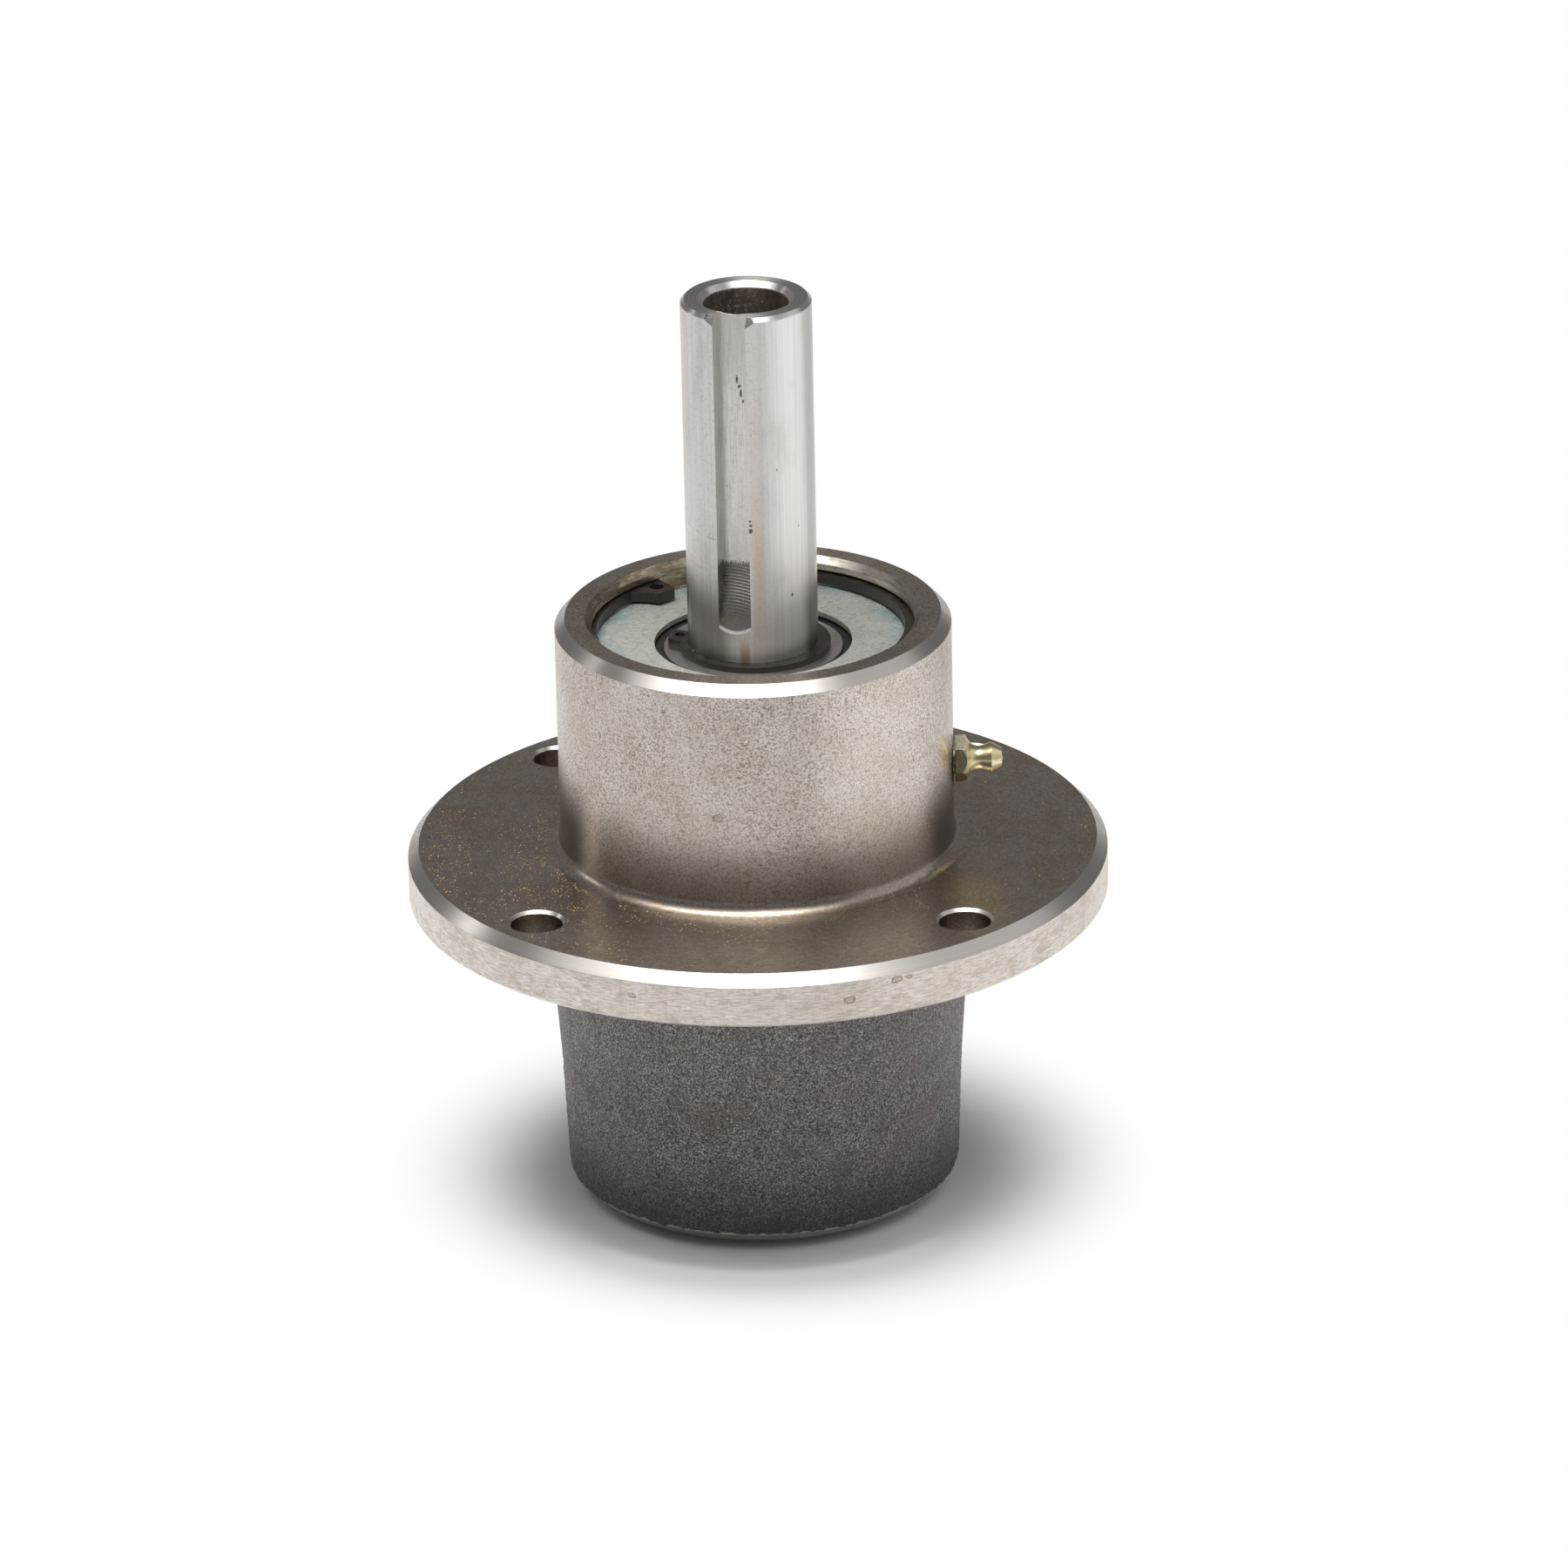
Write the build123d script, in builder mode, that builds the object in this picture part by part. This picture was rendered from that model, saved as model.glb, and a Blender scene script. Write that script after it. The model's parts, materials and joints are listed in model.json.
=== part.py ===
from build123d import *
from math import cos, sin, radians, sqrt
import os

os.makedirs("parts", exist_ok=True)

# Heights are measured from the blade seat, the lowest face, which stands on the ground at z = 0.

# Bearings, the common 25 x 62 x 17 deep groove size
BEARING_BORE_R = 12.5
BEARING_OUTER_R = 31.0
BEARING_WIDTH = 17.0
BEARING_CORNER = 0.8
BALL_COUNT = 7
INNER_RACE_WALL = 4.03
OUTER_RACE_WALL = 2.93
RACE_CLEARANCE = 0.02
RACE_OPENNESS = 1.04
INNER_SHOULDER_HEIGHT = 1.77
OUTER_SHOULDER_HEIGHT = 1.72
SEAL_SEAT_DEPTH = 1.25
SEAL_LAND_STEP = 1.1
SEAL_LIP_GAP = 0.06
SEAL_RECESS = 0.4
SEAL_THICKNESS = 0.8
SEAL_STEP_GAP = 0.35
SEAL_ROUND = 0.25
SEAL_CAGE_GAP = 0.63
CAGE_THICKNESS = 0.8
CAGE_WIDTH = 3.4
CAGE_BALL_GAP = 0.12
RIVET_R = 0.9
RIVET_HEAD_R = 1.5
RIVET_HEAD_HEIGHT = 0.6

# Housing, a turned casting
HOUSING_BOTTOM = 1.9
LOWER_HEIGHT = 59.3
FLANGE_THICKNESS = 10.2
BOSS_HEIGHT = 46.5
BOSS_WALL = 7.1
BOSS_CHAMFER = 2.0
BOSS_FILLET = 2.4
FLANGE_R = 67.7
FLANGE_TOP_CHAMFER = 2.1
FLANGE_BOTTOM_CHAMFER = 0.6
LOWER_WALL_AT_FLANGE = 9.2
LOWER_WALL_AT_BASE = 6.8
LOWER_FILLET = 3.0
BASE_CHAMFER = 2.1
MOUTH_CHAMFER = 1.25
SHOULDER_HEIGHT = 3.4
SHOULDER_DEPTH = 2.5
CORE_STEP = 1.6

# Four bolt holes in the flange
BOLT_COUNT = 4
BOLT_EDGE_DISTANCE = 10.2
BOLT_HOLE_R = 4.95
BOLT_HOLE_CHAMFER = 0.6
BOLT_ANGLE = 42.6

# Bearing recess, the same at both ends of the housing
BEARING_DEPTH = 6.6
SHIELD_THICKNESS = 1.0
SHIELD_LAND_GAP = 1.8
GROOVE_START = 2.45
GROOVE_WIDTH = 2.6
GROOVE_DEPTH = 1.5

# Ring that snaps into the housing groove
CIRCLIP_THICKNESS = 2.0
CIRCLIP_BAND = 2.85
CIRCLIP_OFFSET = 1.1
CIRCLIP_EAR_LENGTH = 6.6
CIRCLIP_EYE_DEPTH = 3.4
CIRCLIP_EYE_R = 1.4
CIRCLIP_EAR_ROUND = 1.0
CIRCLIP_GAP_HALF_ANGLE = 11.5
CIRCLIP_EAR_ANGLE = 10.0
CIRCLIP_FLARE_ANGLE = 18.0
UPPER_CIRCLIP_ANGLE = 113.0
LOWER_CIRCLIP_ANGLE = -64.0

# Shaft
SHAFT_REACH = 64.4
SHAFT_WALL = 4.45
SHAFT_TOP_CHAMFER = 0.75
BOLT_BORE_CHAMFER = 1.2
COLLAR_SHIELD_GAP = 0.5
COLLAR_CHAMFER = 0.8
COLLAR_STEP_WALL = 3.9
COLLAR_STEP_HEIGHT = 1.0

# Keyway, cut with a round side cutter that leaves a curved ramp at its lower end
KEY_WIDTH = 6.35
KEY_DEPTH = 3.18
KEY_ANGLE = -106.4
KEY_END_RISE = 0.4
CUTTER_R = 31.75
CUT_OVERRUN = 1.0
FACET_WIDTH = 1.7
FACET_DROP = 1.9
FACET_RUN = 1.2

# Ring that snaps onto the shaft
SHAFT_CLIP_THICKNESS = 1.2
SHAFT_CLIP_SIDE_GAP = 0.05
SHAFT_GROOVE_DEPTH = 0.55
SHAFT_CLIP_BAND = 1.95
SHAFT_CLIP_OFFSET = 0.5
SHAFT_CLIP_EAR_LENGTH = 4.0
SHAFT_CLIP_EYE_HEIGHT = 1.9
SHAFT_CLIP_EYE_R = 1.0
SHAFT_CLIP_EAR_ROUND = 0.6
SHAFT_CLIP_GAP_HALF_ANGLE = 11.0
SHAFT_CLIP_EAR_ANGLE = 16.0
SHAFT_CLIP_FLARE_ANGLE = 27.0
SHAFT_CLIP_ANGLE = 148.0

# Spacer between the two bearings
SPACER_BORE_GAP = 0.15
SPACER_WALL = 3.15
SPACER_CHAMFER = 0.4

# Grease fitting, screwed into the side of the boss just below the upper bearing
FITTING_DROP = 5.0
FITTING_THREAD_R = 3.0
FITTING_THREAD_LENGTH = 7.2
FITTING_STAND_OFF = 0.3
FITTING_HEX_FLAT = 7.94
FITTING_HEX_ANGLE = 14.0
FITTING_HEX_LENGTH = 2.3
FITTING_ROOT_R = 3.9
FITTING_NECK_R = 2.38
FITTING_NECK_X = 2.3
FITTING_HEAD_R = 3.08
FITTING_HEAD_X = 4.7
FITTING_TIP_R = 1.9
FITTING_TIP_X = 6.7
FITTING_CHAMBER_R = 1.3
FITTING_PASSAGE_R = 0.8
FITTING_PASSAGE_LENGTH = 6.0
FITTING_SEAT_LENGTH = 0.75
FITTING_MOUTH_R = 0.75
CHECK_BALL_R = 1.15
CHECK_BALL_GAP = 0.02
SPRING_R = 0.95
SPRING_WIRE_R = 0.15
SPRING_COILS = 5

# Heights that follow from the sizes above
FLANGE_BOTTOM = HOUSING_BOTTOM + LOWER_HEIGHT
FLANGE_TOP = FLANGE_BOTTOM + FLANGE_THICKNESS
HOUSING_TOP = FLANGE_TOP + BOSS_HEIGHT
SHAFT_TOP = HOUSING_TOP + SHAFT_REACH
KEY_END_Z = HOUSING_TOP + KEY_END_RISE
UPPER_BEARING_TOP = HOUSING_TOP - BEARING_DEPTH
UPPER_BEARING_BOTTOM = UPPER_BEARING_TOP - BEARING_WIDTH
LOWER_BEARING_BOTTOM = HOUSING_BOTTOM + BEARING_DEPTH
LOWER_BEARING_TOP = LOWER_BEARING_BOTTOM + BEARING_WIDTH
UPPER_BEARING_MIDDLE = UPPER_BEARING_TOP - BEARING_WIDTH / 2
LOWER_BEARING_MIDDLE = LOWER_BEARING_BOTTOM + BEARING_WIDTH / 2
UPPER_CIRCLIP_BOTTOM = HOUSING_TOP - GROOVE_START - GROOVE_WIDTH
LOWER_CIRCLIP_BOTTOM = HOUSING_BOTTOM + GROOVE_START
FITTING_Z = UPPER_BEARING_BOTTOM - SHOULDER_DEPTH - FITTING_DROP

# Radii that follow: the balls are as large as the room between the race walls and between the seals lets them be
INNER_FLOOR_R = BEARING_BORE_R + INNER_RACE_WALL
OUTER_FLOOR_R = BEARING_OUTER_R - OUTER_RACE_WALL
ROOM_ACROSS = (OUTER_FLOOR_R - INNER_FLOOR_R) / 2 - RACE_CLEARANCE
ROOM_ALONG = BEARING_WIDTH / 2 - SEAL_RECESS - SEAL_THICKNESS - SEAL_CAGE_GAP - CAGE_THICKNESS - CAGE_BALL_GAP
BALL_R = min(ROOM_ACROSS, ROOM_ALONG)
PITCH_R = (INNER_FLOOR_R + OUTER_FLOOR_R) / 2
RACE_R = BALL_R * RACE_OPENNESS
RACE_OFFSET = RACE_R - BALL_R - RACE_CLEARANCE
INNER_SHOULDER_R = PITCH_R - BALL_R - RACE_CLEARANCE + INNER_SHOULDER_HEIGHT
OUTER_SHOULDER_R = PITCH_R + BALL_R + RACE_CLEARANCE - OUTER_SHOULDER_HEIGHT
SEAL_BEAD_R = OUTER_SHOULDER_R + SEAL_SEAT_DEPTH
SEAL_LAND_R = INNER_SHOULDER_R - SEAL_LAND_STEP
SHIELD_BORE_R = SEAL_LAND_R + SHIELD_LAND_GAP
BOSS_R = BEARING_OUTER_R + BOSS_WALL
LOWER_R_AT_FLANGE = BEARING_OUTER_R + LOWER_WALL_AT_FLANGE
LOWER_R_AT_BASE = BEARING_OUTER_R + LOWER_WALL_AT_BASE
SHOULDER_R = BEARING_OUTER_R - SHOULDER_HEIGHT
CORE_R = SHOULDER_R - CORE_STEP
GROOVE_R = BEARING_OUTER_R + GROOVE_DEPTH
BOLT_CIRCLE_R = FLANGE_R - BOLT_EDGE_DISTANCE
CIRCLIP_INNER_R = GROOVE_R - CIRCLIP_BAND
CIRCLIP_EAR_R = GROOVE_R - CIRCLIP_EAR_LENGTH
CIRCLIP_EYE_CENTRE_R = GROOVE_R - CIRCLIP_EYE_DEPTH
SHAFT_R = BEARING_BORE_R
BOLT_BORE_R = SHAFT_R - SHAFT_WALL
COLLAR_R = SHIELD_BORE_R - COLLAR_SHIELD_GAP
COLLAR_STEP_R = SHAFT_R + COLLAR_STEP_WALL
SHAFT_GROOVE_R = SHAFT_R - SHAFT_GROOVE_DEPTH
SHAFT_CLIP_R = SHAFT_R + SHAFT_CLIP_BAND
SHAFT_CLIP_EAR_R = SHAFT_R + SHAFT_CLIP_EAR_LENGTH
SHAFT_CLIP_EYE_CENTRE_R = SHAFT_R + SHAFT_CLIP_EYE_HEIGHT
SPACER_BORE_R = SHAFT_R + SPACER_BORE_GAP
SPACER_R = SPACER_BORE_R + SPACER_WALL
KEY_FLOOR = sqrt(SHAFT_R**2 - (KEY_WIDTH / 2) ** 2) - KEY_DEPTH
CUTTER_X = KEY_FLOOR + CUTTER_R
CUTTER_Z = KEY_END_Z + sqrt(CUTTER_R**2 - (CUTTER_X - SHAFT_R) ** 2)

# Stations along the grease fitting, from the shaft axis outward
FITTING_HEX_START = BOSS_R + FITTING_STAND_OFF
FITTING_BASE = FITTING_HEX_START + FITTING_HEX_LENGTH
FITTING_TIP = FITTING_BASE + FITTING_TIP_X
FITTING_INNER_END = FITTING_HEX_START - FITTING_THREAD_LENGTH
CHAMBER_START = FITTING_INNER_END + FITTING_PASSAGE_LENGTH
SEAT_START = FITTING_TIP - FITTING_SEAT_LENGTH
SEAT_SLOPE = (FITTING_CHAMBER_R - FITTING_MOUTH_R) / FITTING_SEAT_LENGTH
SEAT_FACTOR = sqrt(1 + SEAT_SLOPE**2)
CHECK_BALL_X = SEAT_START + (FITTING_CHAMBER_R - (CHECK_BALL_R + CHECK_BALL_GAP) * SEAT_FACTOR) / SEAT_SLOPE
SPRING_START = CHAMBER_START + SPRING_WIRE_R
SPRING_END = CHECK_BALL_X - sqrt((CHECK_BALL_R + SPRING_WIRE_R + CHECK_BALL_GAP) ** 2 - SPRING_R**2)


def polar(r, angle):
    return (r * cos(radians(angle)), r * sin(radians(angle)))


def turned_plane(height, angle):
    return Plane(origin=(0, 0, height), x_dir=(*polar(1, angle), 0), z_dir=(0, 0, 1))


def bore_half(end, inward):
    core_start = end + inward * (BEARING_DEPTH + BEARING_WIDTH + SHOULDER_DEPTH)
    seat_end = end + inward * (BEARING_DEPTH + BEARING_WIDTH)
    groove_start = end + inward * GROOVE_START
    groove_end = groove_start + inward * GROOVE_WIDTH
    return [
        (0, end),
        (BEARING_OUTER_R + MOUTH_CHAMFER, end),
        (BEARING_OUTER_R, end + inward * MOUTH_CHAMFER),
        (BEARING_OUTER_R, groove_start),
        (GROOVE_R, groove_start),
        (GROOVE_R, groove_end),
        (BEARING_OUTER_R, groove_end),
        (BEARING_OUTER_R, seat_end),
        (SHOULDER_R, seat_end),
        (SHOULDER_R, core_start),
        (0, core_start),
    ]


# Spindle housing: one casting, turned all over except the lower body, with both bearing seats bored in it
with BuildPart() as spindle_housing:
    with BuildSketch(Plane.XZ):
        with BuildLine():
            Polyline(
                (0, HOUSING_BOTTOM),
                (LOWER_R_AT_BASE - BASE_CHAMFER, HOUSING_BOTTOM),
                (LOWER_R_AT_BASE, HOUSING_BOTTOM + BASE_CHAMFER),
                (LOWER_R_AT_FLANGE, FLANGE_BOTTOM),
                (FLANGE_R - FLANGE_BOTTOM_CHAMFER, FLANGE_BOTTOM),
                (FLANGE_R, FLANGE_BOTTOM + FLANGE_BOTTOM_CHAMFER),
                (FLANGE_R, FLANGE_TOP - FLANGE_TOP_CHAMFER),
                (FLANGE_R - FLANGE_TOP_CHAMFER, FLANGE_TOP),
                (BOSS_R, FLANGE_TOP),
                (BOSS_R, HOUSING_TOP - BOSS_CHAMFER),
                (BOSS_R - BOSS_CHAMFER, HOUSING_TOP),
                (0, HOUSING_TOP),
                close=True,
            )
        make_face()
        fillet(vertices().sort_by_distance((BOSS_R, FLANGE_TOP))[0], BOSS_FILLET)
        fillet(vertices().sort_by_distance((LOWER_R_AT_FLANGE, FLANGE_BOTTOM))[0], LOWER_FILLET)
    revolve(axis=Axis.Z)
    # Bearing seats, ring grooves and shoulders at both ends
    with BuildSketch(Plane.XZ):
        for end, inward in ((HOUSING_TOP, -1), (HOUSING_BOTTOM, 1)):
            with BuildLine():
                Polyline(*bore_half(end, inward), close=True)
            make_face()
    revolve(axis=Axis.Z, mode=Mode.SUBTRACT)
    # Cored grease space between the seats
    with Locations((0, 0, HOUSING_TOP)):
        Hole(CORE_R)
    # Bolt holes
    with Locations((0, 0, FLANGE_TOP)):
        with PolarLocations(BOLT_CIRCLE_R, BOLT_COUNT, start_angle=BOLT_ANGLE):
            CounterSinkHole(BOLT_HOLE_R, BOLT_HOLE_R + BOLT_HOLE_CHAMFER, counter_sink_angle=90)
    # Tapped hole for the grease fitting
    with BuildSketch(Plane.YZ):
        with Locations((0, FITTING_Z)):
            Circle(FITTING_THREAD_R)
    extrude(amount=BOSS_R, mode=Mode.SUBTRACT)


def housing_circlip_sketch(height, angle):
    with BuildSketch(turned_plane(height, angle)) as ring:
        Circle(GROOVE_R)
        with Locations((CIRCLIP_OFFSET, 0)):
            Circle(CIRCLIP_INNER_R, mode=Mode.SUBTRACT)
        for side in (-1, 1):
            start = CIRCLIP_GAP_HALF_ANGLE * side
            ear_end = start + CIRCLIP_EAR_ANGLE * side
            flare_end = start + CIRCLIP_FLARE_ANGLE * side
            flare_middle = ear_end + 0.3 * (flare_end - ear_end)
            root_r = (CIRCLIP_INNER_R + CIRCLIP_OFFSET + GROOVE_R) / 2
            with BuildLine():
                Line(polar(root_r, start), polar(CIRCLIP_EAR_R, start))
                Line(polar(CIRCLIP_EAR_R, start), polar(CIRCLIP_EAR_R, ear_end))
                ThreePointArc(
                    polar(CIRCLIP_EAR_R, ear_end),
                    polar((CIRCLIP_EAR_R + root_r) / 2, flare_middle),
                    polar(root_r, flare_end),
                )
                Line(polar(root_r, flare_end), polar(root_r, start))
            make_face()
        with BuildLine():
            Polyline(
                (0, 0),
                polar(2 * GROOVE_R, -CIRCLIP_GAP_HALF_ANGLE),
                polar(2 * GROOVE_R, CIRCLIP_GAP_HALF_ANGLE),
                close=True,
            )
        make_face(mode=Mode.SUBTRACT)
        for side in (-1, 1):
            start = CIRCLIP_GAP_HALF_ANGLE * side
            ear_end = start + CIRCLIP_EAR_ANGLE * side
            for corner in (start, ear_end):
                fillet(vertices().sort_by_distance(polar(CIRCLIP_EAR_R, corner))[0], CIRCLIP_EAR_ROUND)
            with Locations(polar(CIRCLIP_EYE_CENTRE_R, (start + ear_end) / 2)):
                Circle(CIRCLIP_EYE_R, mode=Mode.SUBTRACT)
    return ring.sketch


# Upper housing circlip: spring steel ring in the groove above the upper shield
with BuildPart() as upper_housing_circlip:
    add(housing_circlip_sketch(UPPER_CIRCLIP_BOTTOM, UPPER_CIRCLIP_ANGLE))
    extrude(amount=CIRCLIP_THICKNESS)

# Lower housing circlip: the same ring in the groove below the lower shield
with BuildPart() as lower_housing_circlip:
    add(housing_circlip_sketch(LOWER_CIRCLIP_BOTTOM, LOWER_CIRCLIP_ANGLE))
    extrude(amount=CIRCLIP_THICKNESS)


def shield_sketch(height):
    with BuildSketch(Plane.XY.offset(height)) as disc:
        Circle(BEARING_OUTER_R)
        Circle(SHIELD_BORE_R, mode=Mode.SUBTRACT)
    return disc.sketch


# Upper shield washer: plated steel disc that covers the bearing's outer ring and seal
with BuildPart() as upper_shield_washer:
    add(shield_sketch(UPPER_BEARING_TOP))
    extrude(amount=SHIELD_THICKNESS)

# Lower shield washer
with BuildPart() as lower_shield_washer:
    add(shield_sketch(LOWER_BEARING_BOTTOM - SHIELD_THICKNESS))
    extrude(amount=SHIELD_THICKNESS)


def outer_ring_sketch(middle):
    half = BEARING_WIDTH / 2
    notch = half - SEAL_RECESS - SEAL_THICKNESS
    with BuildSketch(Plane.XZ) as section:
        with BuildLine():
            Polyline(
                (OUTER_SHOULDER_R, middle - notch),
                (SEAL_BEAD_R, middle - notch),
                (SEAL_BEAD_R, middle - half),
                (BEARING_OUTER_R - BEARING_CORNER, middle - half),
                (BEARING_OUTER_R, middle - half + BEARING_CORNER),
                (BEARING_OUTER_R, middle + half - BEARING_CORNER),
                (BEARING_OUTER_R - BEARING_CORNER, middle + half),
                (SEAL_BEAD_R, middle + half),
                (SEAL_BEAD_R, middle + notch),
                (OUTER_SHOULDER_R, middle + notch),
                close=True,
            )
        make_face()
        with Locations((PITCH_R - RACE_OFFSET, middle)):
            Circle(RACE_R, mode=Mode.SUBTRACT)
    return section.sketch


def inner_ring_sketch(middle):
    half = BEARING_WIDTH / 2
    notch = half - SEAL_RECESS - SEAL_THICKNESS - SEAL_STEP_GAP
    with BuildSketch(Plane.XZ) as section:
        with BuildLine():
            Polyline(
                (BEARING_BORE_R, middle - half + BEARING_CORNER),
                (BEARING_BORE_R + BEARING_CORNER, middle - half),
                (SEAL_LAND_R, middle - half),
                (SEAL_LAND_R, middle - notch),
                (INNER_SHOULDER_R, middle - notch),
                (INNER_SHOULDER_R, middle + notch),
                (SEAL_LAND_R, middle + notch),
                (SEAL_LAND_R, middle + half),
                (BEARING_BORE_R + BEARING_CORNER, middle + half),
                (BEARING_BORE_R, middle + half - BEARING_CORNER),
                close=True,
            )
        make_face()
        with Locations((PITCH_R + RACE_OFFSET, middle)):
            Circle(RACE_R, mode=Mode.SUBTRACT)
    return section.sketch


def seal_sketch(middle, side):
    with BuildSketch(Plane.XZ) as section:
        with Locations(
            (
                (SEAL_LAND_R + SEAL_LIP_GAP + SEAL_BEAD_R) / 2,
                middle + side * (BEARING_WIDTH - 2 * SEAL_RECESS - SEAL_THICKNESS) / 2,
            )
        ):
            Rectangle(SEAL_BEAD_R - SEAL_LAND_R - SEAL_LIP_GAP, SEAL_THICKNESS)
        fillet(vertices().sort_by(Axis.X)[:2], SEAL_ROUND)
    return section.sketch


# Upper bearing outer ring: ground bearing steel, a press fit in the housing
with BuildPart() as upper_bearing_outer_ring:
    add(outer_ring_sketch(UPPER_BEARING_MIDDLE))
    revolve(axis=Axis.Z)

# Lower bearing outer ring
with BuildPart() as lower_bearing_outer_ring:
    add(outer_ring_sketch(LOWER_BEARING_MIDDLE))
    revolve(axis=Axis.Z)

# Upper bearing inner ring: a press fit on the shaft
with BuildPart() as upper_bearing_inner_ring:
    add(inner_ring_sketch(UPPER_BEARING_MIDDLE))
    revolve(axis=Axis.Z)

# Lower bearing inner ring
with BuildPart() as lower_bearing_inner_ring:
    add(inner_ring_sketch(LOWER_BEARING_MIDDLE))
    revolve(axis=Axis.Z)

# Upper bearing seal: rubber lip seal on the outer face; the inner face is open to the grease space
with BuildPart() as upper_bearing_seal:
    add(seal_sketch(UPPER_BEARING_MIDDLE, 1))
    revolve(axis=Axis.Z)

# Lower bearing seal
with BuildPart() as lower_bearing_seal:
    add(seal_sketch(LOWER_BEARING_MIDDLE, -1))
    revolve(axis=Axis.Z)


def cage_band_sketch(middle):
    with BuildSketch(Plane.XY.offset(middle)) as band:
        Circle(PITCH_R + CAGE_WIDTH / 2)
        Circle(PITCH_R - CAGE_WIDTH / 2, mode=Mode.SUBTRACT)
    return band.sketch


def rivet_sketch(middle):
    with BuildSketch(Plane.XZ) as section:
        with BuildLine():
            Polyline(
                (PITCH_R, middle - CAGE_THICKNESS - RIVET_HEAD_HEIGHT),
                (PITCH_R + RIVET_HEAD_R / 2, middle - CAGE_THICKNESS - RIVET_HEAD_HEIGHT),
                (PITCH_R + RIVET_HEAD_R, middle - CAGE_THICKNESS),
                (PITCH_R + RIVET_R, middle - CAGE_THICKNESS),
                (PITCH_R + RIVET_R, middle + CAGE_THICKNESS),
                (PITCH_R + RIVET_HEAD_R, middle + CAGE_THICKNESS),
                (PITCH_R + RIVET_HEAD_R / 2, middle + CAGE_THICKNESS + RIVET_HEAD_HEIGHT),
                (PITCH_R, middle + CAGE_THICKNESS + RIVET_HEAD_HEIGHT),
                close=True,
            )
        make_face()
    return section.sketch


def cage_half(middle, side):
    with BuildPart() as half:
        add(cage_band_sketch(middle))
        extrude(amount=side * CAGE_THICKNESS)
        with Locations((0, 0, middle)):
            with PolarLocations(PITCH_R, BALL_COUNT):
                Sphere(BALL_R + CAGE_BALL_GAP + CAGE_THICKNESS)
        extrude(cage_band_sketch(middle), amount=side * 2 * BALL_R, mode=Mode.INTERSECT)
        with Locations((0, 0, middle)):
            with PolarLocations(PITCH_R, BALL_COUNT):
                Sphere(BALL_R + CAGE_BALL_GAP, mode=Mode.SUBTRACT)
            with PolarLocations(PITCH_R, BALL_COUNT, start_angle=180 / BALL_COUNT):
                Cylinder(RIVET_R, 4 * CAGE_THICKNESS, mode=Mode.SUBTRACT)
    return half.part


# Upper bearing balls: seven separate balls
with BuildPart() as upper_bearing_balls:
    with Locations((0, 0, UPPER_BEARING_MIDDLE)):
        with PolarLocations(PITCH_R, BALL_COUNT):
            Sphere(BALL_R)

# Lower bearing balls
with BuildPart() as lower_bearing_balls:
    with Locations((0, 0, LOWER_BEARING_MIDDLE)):
        with PolarLocations(PITCH_R, BALL_COUNT):
            Sphere(BALL_R)

# Upper bearing cage: two pressed ribbons with a pocket over each ball
with BuildPart() as upper_cage_top_half:
    add(cage_half(UPPER_BEARING_MIDDLE, 1))

with BuildPart() as upper_cage_bottom_half:
    add(cage_half(UPPER_BEARING_MIDDLE, -1))

# Lower bearing cage
with BuildPart() as lower_cage_top_half:
    add(cage_half(LOWER_BEARING_MIDDLE, 1))

with BuildPart() as lower_cage_bottom_half:
    add(cage_half(LOWER_BEARING_MIDDLE, -1))


def rivet(middle):
    with BuildPart() as one:
        add(rivet_sketch(middle))
        revolve(axis=Axis((PITCH_R, 0, 0), (0, 0, 1)))
    return one.part


# Cage rivets: one between each pair of balls, holding the two ribbons together
with BuildPart() as upper_cage_rivets:
    upper_rivet = rivet(UPPER_BEARING_MIDDLE)
    for index in range(BALL_COUNT):
        add(upper_rivet.rotate(Axis.Z, (index + 0.5) * 360 / BALL_COUNT))

with BuildPart() as lower_cage_rivets:
    lower_rivet = rivet(LOWER_BEARING_MIDDLE)
    for index in range(BALL_COUNT):
        add(lower_rivet.rotate(Axis.Z, (index + 0.5) * 360 / BALL_COUNT))

# Bearing spacer: a tube that holds the two inner rings apart
with BuildPart() as bearing_spacer:
    with BuildSketch(Plane.XY.offset(LOWER_BEARING_TOP)):
        Circle(SPACER_R)
        Circle(SPACER_BORE_R, mode=Mode.SUBTRACT)
    extrude(amount=UPPER_BEARING_BOTTOM - LOWER_BEARING_TOP)
    chamfer(edges().filter_by(GeomType.CIRCLE), SPACER_CHAMFER)

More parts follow.
